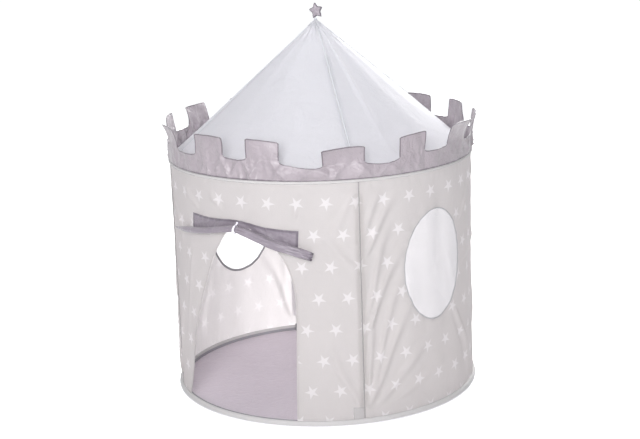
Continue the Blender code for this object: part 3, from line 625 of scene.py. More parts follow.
rodFacts = {
    "glassFibre": {
        "dark": rgb(214, 213, 206), "light": rgb(234, 233, 228), "scuff": rgb(190, 188, 182),
        "roughness": 0.32, "stretch": (900, 900, 14),
    },
    "ferruleMetal": {
        "dark": rgb(176, 177, 180), "light": rgb(208, 209, 212), "scuff": rgb(140, 140, 142),
        "roughness": 0.28, "metallic": 1.0, "stretch": (700, 700, 40),
    },
    "hoopWire": {
        "dark": rgb(140, 141, 144), "light": rgb(172, 173, 176), "scuff": rgb(110, 108, 106),
        "roughness": 0.34, "metallic": 1.0, "stretch": (60, 60, 900),
    },
    "tipRubber": {
        "dark": rgb(40, 40, 42), "light": rgb(58, 58, 60), "scuff": rgb(92, 90, 88),
        "roughness": 0.72, "stretch": (220, 220, 220),
    },
}
materials.update({name: rodMaterial(name, facts) for name, facts in rodFacts.items()})
print("materials made:", len(materials))


# cloth tools: sheets drawn flat in metres, then laid on the tent

farAway = 1e9
tiny = 1e-12


def ease(low, high, value):
    share = np.clip((np.asarray(value, float) - low) / (high - low), 0, 1)
    return share * share * (3 - 2 * share)


def bell(value, reach):
    # 1 in the middle, falling off over the reach on both sides
    return np.exp(-((value / reach) ** 2))


def fromFront(azimuth):
    # degrees from the door, -180 to 180
    return (azimuth + 180) % 360 - 180


def roundWave(azimuth, rounds, shift=0.0):
    # a wave that comes so many times round the tent
    return np.sin(np.radians(azimuth * rounds) + shift)


def spot(azimuth, radius, height):
    angle = np.radians(np.asarray(azimuth, float))
    return np.stack([radius * np.sin(angle), -radius * np.cos(angle), height + 0 * angle], axis=-1)


def meshPiece(name, points, faces, flat=None, edge=None):
    mesh = bpy.data.meshes.new(name)
    places = np.asarray(points, float).reshape(-1, 3).tolist()
    mesh.from_pydata(places, [], [list(map(int, face)) for face in faces])
    mesh.update()
    if flat is not None:
        flat = np.asarray(flat, float).reshape(-1, 2)
        layer = mesh.uv_layers.new(name="flat")
        corners = np.zeros(len(mesh.loops), np.int32)
        mesh.loops.foreach_get("vertex_index", corners)
        layer.data.foreach_set("uv", flat[corners].astype(np.float32).ravel())
    if edge is not None:
        attribute = mesh.attributes.new("edge", "FLOAT", "POINT")
        attribute.data.foreach_set("value", np.asarray(edge, np.float32).ravel())
    made = bpy.data.objects.new(name, mesh)
    bpy.context.scene.collection.objects.link(made)
    return made


def applyModifier(piece, modifier):
    bpy.ops.object.select_all(action="DESELECT")
    piece.select_set(True)
    bpy.context.view_layer.objects.active = piece
    bpy.ops.object.modifier_apply(modifier=modifier.name)
    piece.select_set(False)


def finishCloth(piece, material, thickness=tent["cloth"], offset=-1.0, sharp=50):
    if thickness:
        thick = piece.modifiers.new("thickness", "SOLIDIFY")
        thick.thickness = thickness
        thick.offset = offset
        before = len(piece.data.vertices)
        applyModifier(piece, thick)
        inner = np.zeros(len(piece.data.vertices), np.float32)
        inner[before:] = 1.0
        piece.data.attributes.new("inner", "FLOAT", "POINT").data.foreach_set("value", inner)
    piece.data.shade_smooth()
    piece.data.set_sharp_from_angle(angle=math.radians(sharp))
    piece.data.materials.clear()
    piece.data.materials.append(materials[material])
    return piece


def gridQuads(number, roundAcross=False, roundUp=False, flip=False):
    # the cells of a grid of point numbers, closed round on itself where asked
    if roundAcross:
        number = np.concatenate([number, number[:, :1]], axis=1)
    if roundUp:
        number = np.concatenate([number, number[:1]], axis=0)
    corners = [number[:-1, :-1], number[:-1, 1:], number[1:, 1:], number[1:, :-1]]
    if flip:
        corners = [corners[0], corners[3], corners[2], corners[1]]
    return np.stack([corner.ravel() for corner in corners], axis=1)


def numberGrid(grid):
    return np.arange(np.size(grid)).reshape(np.shape(grid))


def flatPairs(across, up):
    return np.stack([np.ravel(across), np.ravel(up)], axis=1)


def faceOutwards(piece):
    shape = bmesh.new()
    shape.from_mesh(piece.data)
    loose = [v for v in shape.verts if not v.link_faces]
    bmesh.ops.delete(shape, geom=loose, context="VERTS")
    bmesh.ops.recalc_face_normals(shape, faces=shape.faces)
    shape.to_mesh(piece.data)
    shape.free()


def insideOutline(across, up, outline):
    found = np.zeros(across.shape, bool)
    previous = outline[-1]
    for current in outline:
        (lastAcross, lastUp), (nowAcross, nowUp) = previous, current
        if lastUp != nowUp:
            reached = (nowAcross - lastAcross) * (up - lastUp) / (nowUp - lastUp) + lastAcross
            found ^= ((lastUp > up) != (nowUp > up)) & (across < reached)
        previous = current
    return found


def denseLine(outline, step=0.0015, closed=True):
    points = np.asarray(outline, float)
    if closed:
        points = np.vstack([points, points[:1]])
    lengths = np.hypot(*np.diff(points, axis=0).T)
    runs = np.concatenate([[0], np.cumsum(lengths)])
    count = max(int(runs[-1] / step), 2)
    places = np.linspace(0, runs[-1], count, endpoint=not closed)
    return np.stack([np.interp(places, runs, points[:, k]) for k in (0, 1)], axis=1)


def nearestOn(line, across, up):
    best = np.zeros(len(across), int)
    least = np.full(len(across), farAway)
    block = 2000  # points compared in one go
    for start in range(0, len(across), block):
        part = slice(start, start + block)
        gaps = np.hypot(across[part, None] - line[None, :, 0], up[part, None] - line[None, :, 1])
        best[part] = gaps.argmin(axis=1)
        least[part] = gaps.min(axis=1)
    return best, least


def gridSheet(name, acrossPlaces, upPlaces, lay, hole=None):
    # a sheet on a square grid, with one hole whose rim the nearest threads are drawn onto
    across, up = np.meshgrid(acrossPlaces, upPlaces)
    number = numberGrid(across)
    quads = gridQuads(number)
    across, up = across.ravel(), up.ravel()
    if hole is not None:
        line = denseLine(hole)
        line = line[(line[:, 1] >= min(upPlaces)) & (line[:, 1] <= max(upPlaces))]
        inside = insideOutline(across, up, hole)
        cell = abs(acrossPlaces[1] - acrossPlaces[0])
        near = np.abs(across - line[:, 0].mean()) < np.ptp(line[:, 0])
        near &= np.abs(up - line[:, 1].mean()) < np.ptp(line[:, 1])
        best = np.zeros(len(across), int)
        least = np.full(len(across), farAway)
        best[near], least[near] = nearestOn(line, across[near], up[near])
        drawn = inside | (least < 0.35 * cell)
        quads = quads[~drawn[quads].all(axis=1)]
        rim = np.unique(quads)
        rim = rim[drawn[rim]]
        across[rim], up[rim] = line[best[rim], 0], line[best[rim], 1]
    used = np.unique(quads)
    renumber = np.full(number.size, -1)
    renumber[used] = np.arange(len(used))
    across, up = across[used], up[used]
    piece = meshPiece(name, lay(across, up), renumber[quads], flatPairs(across, up))
    if hole is not None:
        shape = bmesh.new()
        shape.from_mesh(piece.data)
        bmesh.ops.remove_doubles(shape, verts=shape.verts, dist=1e-5)
        bmesh.ops.dissolve_degenerate(shape, edges=shape.edges, dist=1e-5)
        shape.to_mesh(piece.data)
        shape.free()
    return piece


def offsetLine(line, amount, closed):
    # moves a flat line sideways, to its left as it runs
    points = np.asarray(line, float)
    if closed:
        along = np.roll(points, -1, axis=0) - np.roll(points, 1, axis=0)
    else:
        along = np.gradient(points, axis=0)
    along /= np.maximum(np.hypot(*along.T), tiny)[:, None]
    return points + amount * np.stack([-along[:, 1], along[:, 0]], axis=1)


def sweptTape(name, line, section, lay, closed, material, thickness=0.0005):
    # section: pairs of (sideways in the flat, out from the cloth)
    rows, flats = [], []
    run = np.concatenate([[0], np.cumsum(np.hypot(*np.diff(line, axis=0).T))])
    for side, out in section:
        moved = offsetLine(line, side, closed)
        rows.append(lay(moved[:, 0], moved[:, 1], out))
        flats.append(flatPairs(run, np.full(len(run), side)))
    points = np.stack(rows)
    quads = gridQuads(numberGrid(points[..., 0]), roundAcross=closed)
    piece = meshPiece(name, points, quads, np.stack(flats))
    return finishCloth(piece, material, thickness, 0.0)


# a stitch's length, the gap to the next one and the width of its thread
stitch = {"length": 0.0030, "gap": 0.0018, "width": 0.00045}


def threadStitches(name, runs, material, size=stitch):
    # runs: pairs of (points, outward directions); each stitch is a short spindle of thread
    points, faces, flat = [], [], []
    length, width = size["length"], size["width"]
    for path, outward in runs:
        path, outward = np.asarray(path, float), np.asarray(outward, float)
        steps = np.linalg.norm(np.diff(path, axis=0), axis=1)
        travel = np.concatenate([[0], np.cumsum(steps)])
        for begin in np.arange(size["gap"], travel[-1] - length, length + size["gap"]):
            reached = (begin, begin + length / 2, begin + length)
            ends = [np.array([np.interp(t, travel, path[:, k]) for k in range(3)]) for t in reached]
            out = np.array([np.interp(begin, travel, outward[:, k]) for k in range(3)])
            out /= max(np.linalg.norm(out), 1e-9)
            along = ends[2] - ends[0]
            along /= max(np.linalg.norm(along), 1e-9)
            side = np.cross(along, out) * width / 2
            first = len(points)
            middle = ends[1] + out * width * 0.8
            rise = out * width * 0.5
            points += [ends[0], middle + side, middle + rise, middle - side, middle - rise, ends[2]]
            faces += [(first, first + 1 + k, first + 1 + (k + 1) % 4) for k in range(4)]
            faces += [(first + 5, first + 1 + (k + 1) % 4, first + 1 + k) for k in range(4)]
            flat += [(begin, 0.0)] * 6
    piece = meshPiece(name, points, faces, flat)
    faceOutwards(piece)
    return finishCloth(piece, material, 0)


def radialOut(points):
    flatOut = np.array(points, float)
    flatOut[..., 2] = 0
    return flatOut / np.maximum(np.linalg.norm(flatOut, axis=-1, keepdims=True), 1e-9)


def place(piece, body, slot, replaced=(), fold=None):
    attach(piece, body)
    if replaced:
        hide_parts(*replaced)
    if fold:
        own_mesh(piece)
    return piece


# outlines of the door and the windows, as they lie on the flat cloth

door = {
    "top": 0.665,
    "start": -0.02,  # the outline begins a little below the wall
    "springHeight": 0.37,
    "left": {"foot": 0.292, "spring": 0.186, "round": 1.9},
    "right": {"foot": 0.184, "spring": 0.194, "round": 2.4},
}
windows = {
    "right": {"azimuth": 77.0, "width": 0.276, "height": 0.377, "centre": 0.498},
    "left": {"azimuth": 250.5, "width": 0.276, "height": 0.377, "centre": 0.473},
}


def doorSide(facts, height):
    slant = (facts["foot"] - facts["spring"]) / door["springHeight"]
    straight = facts["spring"] + slant * (door["springHeight"] - height)
    rise = np.clip((height - door["springHeight"]) / (door["top"] - door["springHeight"]), 0, 1)
    return straight * np.sqrt(np.clip(1 - rise ** facts["round"], 0, 1))


def doorHalves(height):
    return doorSide(door["right"], height), doorSide(door["left"], height)


def ontoArc(across):
    # a distance straight across at the door line, as a length round the wall
    return tent["wallRadius"] * np.arcsin(np.clip(across / tent["wallRadius"], -1, 1))


def doorLine():
    # runs up the right side and down the left one
    reach = door["top"] - door["springHeight"]
    turn = np.linspace(0, math.pi / 2, 60)
    lower = np.linspace(door["start"], door["springHeight"], 60)[:-1]
    heights = np.concatenate([lower, door["springHeight"] + reach * np.sin(turn)])
    right, left = doorHalves(heights)
    up = np.stack([ontoArc(right), heights], axis=1)
    down = np.stack([-ontoArc(left), heights], axis=1)[::-1]
    return np.vstack([up, down[1:]])


def windowLine(facts, grow=0.0, count=160):
    turn = np.linspace(0, 2 * math.pi, count, endpoint=False)
    across = (facts["width"] / 2 + grow) * np.cos(turn)
    up = facts["centre"] + (facts["height"] / 2 + grow) * np.sin(turn)
    return np.stack([ontoArc(across) + tent["wallRadius"] * math.radians(facts["azimuth"]), up], axis=1)


# wall cloth

wall = {
    "cell": 0.0065,
    "draw": 0.0024,  # pulled in between the hoops
    "folds": 0.0019,
    "pucker": 0.0007,
    "puckerReach": 0.022,
    "doorSway": 0.0022,
    "swayReach": 0.05,
    "windowPucker": 0.0009,
}


# tension folds: from (azimuth, height) to (azimuth, height), then width and depth in metres
tensionFolds = (
    (45.3, 0.035, 69.0, 0.46, 0.016, 0.0078),
    (45.3, 0.030, 64.0, 0.56, 0.012, 0.0062),
    (45.3, 0.030, 82.0, 0.31, 0.018, 0.0056),
    (45.3, 0.030, 55.0, 0.62, 0.011, 0.0048),
    (45.3, 0.030, 92.0, 0.17, 0.015, 0.0036),
    (45.6, 0.300, 63.0, 0.60, 0.014, 0.0072),
    (45.6, 0.330, 59.0, 0.72, 0.012, 0.0056),
    (45.8, 0.560, 62.0, 0.79, 0.015, 0.0054),
    (45.8, 0.640, 56.0, 0.80, 0.012, 0.0040),
    (88.0, 0.330, 104.0, 0.05, 0.016, 0.0054),
    (92.0, 0.620, 118.0, 0.79, 0.016, 0.0044),
    (95.0, 0.480, 126.0, 0.52, 0.014, 0.0034),
    (44.7, 0.030, 32.0, 0.34, 0.014, 0.0044),
    (44.5, 0.790, 29.0, 0.60, 0.015, 0.0040),
    (44.5, 0.500, 30.0, 0.70, 0.014, 0.0028),
    (22.0, 0.700, 27.0, 0.80, 0.012, 0.0036),
    (-6.0, 0.700, -11.0, 0.80, 0.010, 0.0044),
    (3.0, 0.700, 9.0, 0.80, 0.010, 0.0036),
    (-18.0, 0.690, -27.0, 0.80, 0.011, 0.0040),
    (-23.0, 0.560, -38.0, 0.16, 0.014, 0.0046),
    (-44.5, 0.790, -31.0, 0.50, 0.014, 0.0044),
    (-44.7, 0.040, -34.0, 0.40, 0.012, 0.0040),
    (-45.5, 0.035, -66.0, 0.42, 0.015, 0.0066),
    (-45.5, 0.030, -57.0, 0.58, 0.012, 0.0054),
    (-46.0, 0.300, -60.0, 0.66, 0.014, 0.0050),
    (-130.0, 0.330, -134.0, 0.06, 0.016, 0.0048),
    (-92.0, 0.300, -84.0, 0.04, 0.015, 0.0048),
    (136.0, 0.030, 158.0, 0.48, 0.016, 0.0068),
    (135.6, 0.030, 172.0, 0.30, 0.016, 0.0044),
    (134.4, 0.030, 114.0, 0.40, 0.015, 0.0056),
    (135.5, 0.400, 156.0, 0.74, 0.014, 0.0046),
    (224.4, 0.030, 203.0, 0.52, 0.016, 0.0066),
    (224.4, 0.380, 208.0, 0.78, 0.014, 0.0042),
    (225.6, 0.035, 240.0, 0.36, 0.015, 0.0056),
    (180.0, 0.790, 196.0, 0.46, 0.018, 0.0044),
    (172.0, 0.790, 158.0, 0.56, 0.016, 0.0036),
)


def tensionWave(azimuth, height):
    wave = np.zeros(np.broadcast(azimuth, height).shape)
    for startAzimuth, startHeight, endAzimuth, endHeight, width, depth in tensionFolds:
        across = np.radians(fromFront(azimuth - startAzimuth)) * tent["wallRadius"]
        reachRound = math.radians(endAzimuth - startAzimuth) * tent["wallRadius"]
        reach = np.array([reachRound, endHeight - startHeight])
        length = float(np.hypot(*reach))
        along = (across * reach[0] + (height - startHeight) * reach[1]) / length
        side = (across * reach[1] - (height - startHeight) * reach[0]) / length
        share = np.clip(along / length, 0, 1)
        side = side + 0.018 * np.sin(math.pi * share) - 0.006 * np.sin(2 * math.pi * share)
        # it widens as it runs, and is steeper on one flank, with a shallow trough beside it
        spread = side / (width * (0.55 + 0.9 * share))
        shape = bell(spread, 1) * (1 + 0.9 * spread) - 0.35 * bell(spread - 1.9, 1)
        wave += depth * shape * ease(0.0, 0.14, along / length) * (1 - ease(0.55, 1.0, along / length))
    return wave


def seamSide(azimuth):
    return np.asarray(azimuth, float) % 90 - 45


def wallWave(azimuth, height):
    azimuth, height = np.asarray(azimuth, float), np.asarray(height, float)
    rise = np.clip((height - tent["wallFoot"]) / (tent["wallTop"] - tent["wallFoot"]), 0, 1)
    held = ease(0, 0.07, rise) * ease(0, 0.07, 1 - rise)
    seam = seamSide(azimuth)
    free = 1 - bell(seam, 7)
    wave = -wall["draw"] * free * held * np.sin(math.pi * rise) ** 0.6
    wave += wall["folds"] * free * held * roundWave(azimuth, 13, 1.4 * np.sin(4.0 * rise + azimuth * 0.03))
    wave += 0.6 * wall["folds"] * free * held * roundWave(azimuth, 29, 2.2 * rise)
    # puckers at the hems and along the seams
    nearFoot = bell(height - tent["wallFoot"], wall["puckerReach"]) * ease(0, 0.004, rise)
    nearTop = bell(tent["wallTop"] - height, wall["puckerReach"]) * ease(0, 0.004, 1 - rise)
    ripple = roundWave(azimuth, 97, 1.7 * roundWave(azimuth, 23))
    wave += wall["pucker"] * ripple * (nearFoot + nearTop)
    wave += 0.7 * wall["pucker"] * bell(seam, 2.2) * np.sin(height * 260 + azimuth) * held
    wave += tensionWave(azimuth, height) * held
    # the door's free edges sway a little
    turned = fromFront(azimuth)
    right, left = doorHalves(height)
    across = tent["wallRadius"] * np.sin(np.radians(turned))
    fromEdge = np.where(turned > 0, across - right, -left - across)
    front = (np.abs(turned) < 50) * held * (1 - ease(0.50, 0.60, height))
    sway = np.sin(height * 11 + 0.5 * np.sign(turned))
    wave += wall["doorSway"] * front * bell(fromEdge, wall["swayReach"]) * sway
    # small puckers round the windows
    for facts in windows.values():
        away = np.radians(fromFront(azimuth - facts["azimuth"])) * tent["wallRadius"]
        lift = height - facts["centre"]
        reach = np.sqrt((away / (facts["width"] / 2)) ** 2 + (lift / (facts["height"] / 2)) ** 2)
        turn = np.arctan2(lift, away)
        gather = np.sin(22 * turn + 2 * np.sin(3 * turn))
        wave += wall["windowPucker"] * bell((reach - 1) * 0.16, 0.024) * gather
    return wave


def onWall(across, up, out=0.0):
    azimuth = np.degrees(np.asarray(across, float) / tent["wallRadius"])
    return spot(azimuth, tent["wallRadius"] + wallWave(azimuth, up) + out, np.asarray(up, float))


def makeWalls():
    quarter = math.radians(90) * tent["wallRadius"]
    columns = round(quarter / wall["cell"])
    rows = round((tent["wallTop"] - tent["wallFoot"]) / wall["cell"])
    upPlaces = np.linspace(tent["wallFoot"], tent["wallTop"], rows + 1)
    holes = {"front": doorLine(), "right": windowLine(windows["right"]), "left": windowLine(windows["left"])}
    made = {}
    for number, name in enumerate(("front", "right", "back", "left")):
        start = math.radians(-45 + 90 * number) * tent["wallRadius"]
        acrossPlaces = np.linspace(start, start + quarter, columns + 1)
        panel = gridSheet(name + "Wall", acrossPlaces, upPlaces, onWall, holes.get(name))
        finishCloth(panel, "wallCloth")
        made[name] = place(panel, "base", name + "_wall", [name + "_wall"], "wall")
    return made


walls = makeWalls()
print("walls made")


# tapes, netting and seams on the wall

# tape sections as pairs of (sideways in the flat, out from the cloth)
tapes = {
    # folded round the door's edge, with the wider half inside
    "door": [(-0.0042, 0.0006), (-0.0010, 0.0008), (0.0004, 0.0), (-0.0010, -0.0013), (-0.0088, -0.0013)],
    "window": [(-0.0042, -0.0021), (-0.0020, -0.0025), (0.0020, -0.0025), (0.0042, -0.0021)],
    "seam": [(-0.0016, 0.0002), (-0.0010, 0.0010), (0.0, 0.0013), (0.0010, 0.0010), (0.0016, 0.0002)],
}
net = {"beyond": 0.0035, "behind": 0.0012, "slack": 0.004, "thickness": 0.0003, "flat": (0.283, 0.384)}
patch = {"width": 0.034, "fromSeam": 0.003, "height": 0.040, "out": 0.0009, "ripple": 0.0004}
# the seams from the door, with the last one counted backwards
seamTurns = tent["seams"][:3] + (tent["seams"][3] - 360,)


def makeDoorBinding():
    line = doorLine()
    line = denseLine(line[line[:, 1] >= tent["wallFoot"] - 1e-9], 0.005, closed=False)
    tape = sweptTape("doorBinding", line, tapes["door"], onWall, False, "seamCloth")
    return place(tape, "base", "door_binding", ["door_binding"], "wall")


def makeNet(side, facts):
    # rings of netting from the middle out to under the binding, a little slack
    centre = tent["wallRadius"] * math.radians(facts["azimuth"])
    shares = np.sqrt(np.linspace(0.0004, 1, 26))[:, None]
    rim = windowLine(facts, net["beyond"], 96)
    turns = np.linspace(0, 2 * math.pi, len(rim), endpoint=False)
    across = centre + (rim[None, :, 0] - centre) * shares
    up = facts["centre"] + (rim[None, :, 1] - facts["centre"]) * shares
    number = numberGrid(across)
    quads = gridQuads(number, roundAcross=True, flip=True).tolist() + [number[0].tolist()]
    slack = -net["behind"] - net["slack"] * (1 - shares**2) * (1 + 0.35 * np.sin(2 * turns)[None, :])
    points = onWall(across.ravel(), up.ravel(), slack.ravel())
    netting = meshPiece(side + "WindowMesh", points, quads, flatPairs(across, up))
    finishCloth(netting, "netCloth", net["thickness"])
    return place(netting, "base", side + "_window_mesh", [side + "_window_mesh"], "wall")


def makeWindow(side, facts):
    netting = makeNet(side, facts)
    tape = sweptTape(side + "WindowBinding", windowLine(facts), tapes["window"], onWall, True, "tapeCloth")
    place(tape, "base", side + "_window_binding", [side + "_window_binding"], "wall")
    return netting, tape


def makeFootPatch():
    edge = math.radians(tent["seams"][0]) * tent["wallRadius"] - patch["fromSeam"]
    acrossPlaces = np.linspace(edge - patch["width"], edge, 13)
    upPlaces = np.linspace(tent["wallFoot"], tent["wallFoot"] + patch["height"], 15)

    def layPatch(across, up):
        return onWall(across, up, patch["out"] + patch["ripple"] * np.sin(across * 300) * np.sin(up * 240))

    piece = gridSheet("footPatch", acrossPlaces, upPlaces, layPatch)
    finishCloth(piece, "patchCloth", 0.0007)
    return place(piece, "base", "foot_patch", ["foot_patch"], "wall")


def makeSeams():
    # a narrow felled strip over each seam, darker than the cloth: the ridge is real, and its dark colour is
    # partly painted shade along the pole
    strips = []
    heights = np.linspace(tent["wallFoot"], tent["wallTop"], 150)
    for pole, azimuth in zip(tent["poles"], seamTurns):
        line = flatPairs(np.full(150, math.radians(azimuth) * tent["wallRadius"]), heights)
        strip = sweptTape(pole + "Seam", line, tapes["seam"], onWall, False, "seamRidgeWithShade", 0.0004)
        strips.append(place(strip, "base", "front_wall", [], "wall"))
    return strips


# where the threads of the wall run, and how far each stands out from the cloth
wallThreads = {
    "besideSeam": 0.0045, "seamOut": 0.0012,
    "fromDoor": 0.0036, "doorOut": 0.0010,
    "fromWindow": (0.0030, 0.0062), "windowOut": 0.0004,
    "overHem": 0.0055, "hemOut": 0.0011,
    "underTop": 0.0040, "topOut": 0.0008,
}


def makeWallStitches():
    runs = []

    def addRun(line, out):
        points = onWall(line[:, 0], line[:, 1], out)
        runs.append((points, radialOut(points)))

    heights = np.linspace(tent["wallFoot"] + 0.002, tent["wallTop"] - 0.002, 160)
    for azimuth in seamTurns:
        for side in (-wallThreads["besideSeam"], wallThreads["besideSeam"]):
            across = math.radians(azimuth) * tent["wallRadius"] + side
            addRun(flatPairs(np.full(160, across), heights), wallThreads["seamOut"])
    line = doorLine()
    line = offsetLine(line[line[:, 1] >= tent["wallFoot"]], -wallThreads["fromDoor"], False)
    addRun(denseLine(line, 0.004, closed=False), wallThreads["doorOut"])
    for facts in windows.values():
        for grow in wallThreads["fromWindow"]:
            ring = windowLine(facts, grow)
            addRun(np.vstack([ring, ring[:1]]), wallThreads["windowOut"])
    around = np.linspace(math.radians(-43), math.radians(312), 900) * tent["wallRadius"]
    for height, out in (
        (tent["wallFoot"] + wallThreads["overHem"], wallThreads["hemOut"]),
        (tent["wallTop"] - wallThreads["underTop"], wallThreads["topOut"]),
    ):
        addRun(flatPairs(around, np.full(900, height)), out)
    stitches = threadStitches("wallStitches", runs, "stitchThread")
    return place(stitches, "base", "front_wall", [], "wall")


sleeves = {
    "wall": {"depth": 0.0092, "half": 0.0046, "ends": 0.040},
    "roof": {"depth": 0.0062, "half": 0.0030, "low": 0.4697, "high": 0.1274},
    "shoulder": 0.0015,
    "flange": 0.009,
    "thickness": 0.0005,
    "crease": 0.0005,
}


def smoothLine(points):
    # two passes that leave the ends in place
    for _ in range(2):
        points[1:-1] = (points[:-2] + 2 * points[1:-1] + points[2:]) / 4
    return points


def humpSection(facts):
    # flat, over the pole, flat again; rounded at the four turns
    half, depth = facts["half"], facts["depth"]
    shoulder = half + sleeves["shoulder"]
    edge = shoulder + sleeves["flange"]
    corners = [(-edge, 0), (-shoulder, 0), (-half, depth), (half, depth), (shoulder, 0), (edge, 0)]
    return smoothLine(denseLine(np.array(corners), 0.0012, closed=False))


def makeWallSleeves():
    made = []
    section = humpSection(sleeves["wall"])
    ends = sleeves["wall"]["ends"]
    heights = np.linspace(tent["wallFoot"] + ends, tent["wallTop"] - ends, 120)
    across, up = np.meshgrid(section[:, 0], heights)
    depth = np.meshgrid(section[:, 1], heights)[0]
    crease = sleeves["crease"] * np.sin(up * 90 + across * 400) * (np.abs(across) < 0.006)
    radius = tent["wallRadius"] - tent["cloth"] - 0.0004 - depth + crease
    for name, azimuth in zip(tent["poles"], tent["seams"]):
        angle = azimuth + np.degrees(across / tent["wallRadius"])
        # the flanges follow the wall, and the hump stays on its pole
        level = wallWave(angle, up) * (1 - ease(0.0, 0.004, depth))
        points = spot(angle.ravel(), (radius + level).ravel(), up.ravel())
        sleeve = meshPiece(name + "WallSleeve", points, gridQuads(numberGrid(across)), flatPairs(across, up))
        finishCloth(sleeve, "seamCloth", sleeves["thickness"])
        made.append(place(sleeve, "base", name + "_wall_sleeve", [name + "_wall_sleeve"], "sleeve"))
    return made


doorBinding = makeDoorBinding()
windowPieces = {side: makeWindow(side, facts) for side, facts in windows.items()}
footPatch = makeFootPatch()
seamStrips = makeSeams()
wallStitches = makeWallStitches()
wallSleeves = makeWallSleeves()
print("wall trims made")


# floor, hem and piping

ground = {"radius": 0.5183, "wrinkle": 0.0026, "crease": 0.012, "thickness": 0.0011, "flat": (1.037, 1.037)}
hem = {
    "outer": 0.533,
    "inner": 0.519,
    "middle": 0.0105,
    "halfHeight": 0.0095,
    "gather": 0.0007,
    "slowGather": 0.0006,
    "lean": 0.0045,
    "swell": 0.0008,
}
cord = {"inside": 0.0006, "radius": 0.0021, "height": 0.0034, "ripple": 0.00025}
piping = {"outer": 0.529, "inner": 0.519, "foot": 0.811, "height": 0.010, "gather": 0.00045}
binding = {
    "corners": (
        (0.5184, 0.0016), (0.5186, 0.0060), (0.5182, 0.0116),
        (0.5172, 0.0118), (0.5166, 0.0060), (0.5168, 0.0016),
    ),
    "wave": 0.0003,
    "raised": 0.0088,
    "doorway": (-41, -34, 21, 28),  # in degrees, where it rises and where it falls
}


def makeFloor():
    rings, spokes = 70, 220
    shares = (np.linspace(0, 1, rings) ** 0.8)[1:]
    turns = np.linspace(0, 2 * math.pi, spokes, endpoint=False)
    share, turn = np.meshgrid(shares, turns, indexing="ij")
    radius = ground["radius"] * share
    x, y = radius * np.cos(turn), radius * np.sin(turn)
    pull = np.sin(9 * turn + 3 * np.sin(2 * turn)) * ease(0.55, 0.95, share) * (1 - ease(0.985, 1.0, share))
    swell = np.sin(x * 17 + 2.0 * np.sin(y * 7)) * np.sin(y * 13 + 1.3 * np.sin(x * 9))
    # two creases that cross, from when it was packed
    crease = bell(y - 0.25 * x, ground["crease"]) + bell(x + 0.15 * y - 0.05, ground["crease"])
    lift = 0.5 + 0.28 * swell + 0.22 * pull + 0.35 * crease
    height = 0.0012 + ground["wrinkle"] * np.clip(lift, 0, 1.4) * (1 - ease(0.97, 1.0, share))
    number = numberGrid(share)
    quads = gridQuads(number, roundAcross=True, flip=True).tolist() + [number[0].tolist()]
    floor = meshPiece("floorSheet", np.stack([x, y, height], axis=-1), quads, flatPairs(x, y))
    finishCloth(floor, "floorCloth", ground["thickness"])
    return place(floor, "base", "floor_sheet", ["floor_sheet"])


def ringSweep(name, section, count, material):
    # section(azimuths) gives a closed loop of (radius, height) pairs
    azimuths = np.linspace(0, 360, count, endpoint=False)
    points = np.stack([spot(azimuths, radius, height) for radius, height in section(azimuths)])
    quads = gridQuads(numberGrid(points[..., 0]), roundAcross=True, roundUp=True)
    run = np.radians(azimuths) * tent["wallRadius"]
    flat = np.stack([np.broadcast_to(run, points.shape[:2]), points[..., 2]], axis=-1)
    piece = meshPiece(name, points, quads, flat)
    faceOutwards(piece)
    return finishCloth(piece, material, 0)


def hemSection(azimuths):
    gather = hem["gather"] * roundWave(azimuths, 83, 2 * roundWave(azimuths, 17))
    gather += hem["slowGather"] * roundWave(azimuths, 41)
    middle, half = (hem["outer"] + hem["inner"]) / 2, (hem["outer"] - hem["inner"]) / 2
    loop = []
    for degree in range(0, 360, 20):
        out, up = math.cos(math.radians(degree)), math.sin(math.radians(degree))
        radius = middle + half * np.sign(out) * abs(out) ** 0.75
        height = hem["middle"] + hem["halfHeight"] * np.sign(up) * abs(up) ** 0.8
        flex = gather * max(out, 0) * (0.4 + 0.6 * max(up, 0))
        # the upper edge leans in to the wall it is sewn to
        lean = hem["lean"] * max(up, 0) ** 2 * max(out, 0)
        loop.append((radius + flex - lean, height + hem["swell"] * max(up, 0)))
    return loop


def hemCordSection(azimuths):
    ripple = cord["ripple"] * roundWave(azimuths, 120)
    loop = []
    for degree in range(0, 360, 36):
        angle = math.radians(degree)
        radius = hem["outer"] - cord["inside"] + cord["radius"] * math.cos(angle) + ripple
        loop.append((radius, cord["height"] + cord["radius"] * math.sin(angle)))
    return loop


def pipingSection(azimuths):
    gather = piping["gather"] * roundWave(azimuths, 103, 2 * roundWave(azimuths, 19))
    middle, half = (piping["outer"] + piping["inner"]) / 2, (piping["outer"] - piping["inner"]) / 2
    loop = []
    for degree in range(0, 360, 24):
        out, up = math.cos(math.radians(degree)), math.sin(math.radians(degree))
        height = piping["foot"] + piping["height"] / 2 + piping["height"] / 2 * up
        loop.append((middle + half * out + gather * max(out, 0), height))
    return loop


def bindingSection(azimuths):
    wave = binding["wave"] * roundWave(azimuths, 31)
    # it stands up behind the hem across the doorway
    turned = fromFront(azimuths)
    riseFrom, riseTo, fallFrom, fallTo = binding["doorway"]
    raised = binding["raised"] * ease(riseFrom, riseTo, turned) * (1 - ease(fallFrom, fallTo, turned))
    return [(radius + wave, height + raised * (height > 0.01)) for radius, height in binding["corners"]]


floorSheet = makeFloor()
bottomHem = ringSweep("bottomHem", hemSection, 540, "hemCloth")
place(bottomHem, "base", "bottom_hem", ["bottom_hem"])
hemCord = ringSweep("hemCord", hemCordSection, 480, "cordCloth")
place(hemCord, "base", "bottom_hem")
floorBinding = ringSweep("floorBinding", bindingSection, 360, "tapeCloth")
place(floorBinding, "base", "floor_binding", ["floor_binding"])
topPiping = ringSweep("topPiping", pipingSection, 540, "hemCloth")
place(topPiping, "top_ring", "top_piping", ["top_piping"])
print("floor, hem and piping made")


# battlement: a puckered band with fourteen merlons

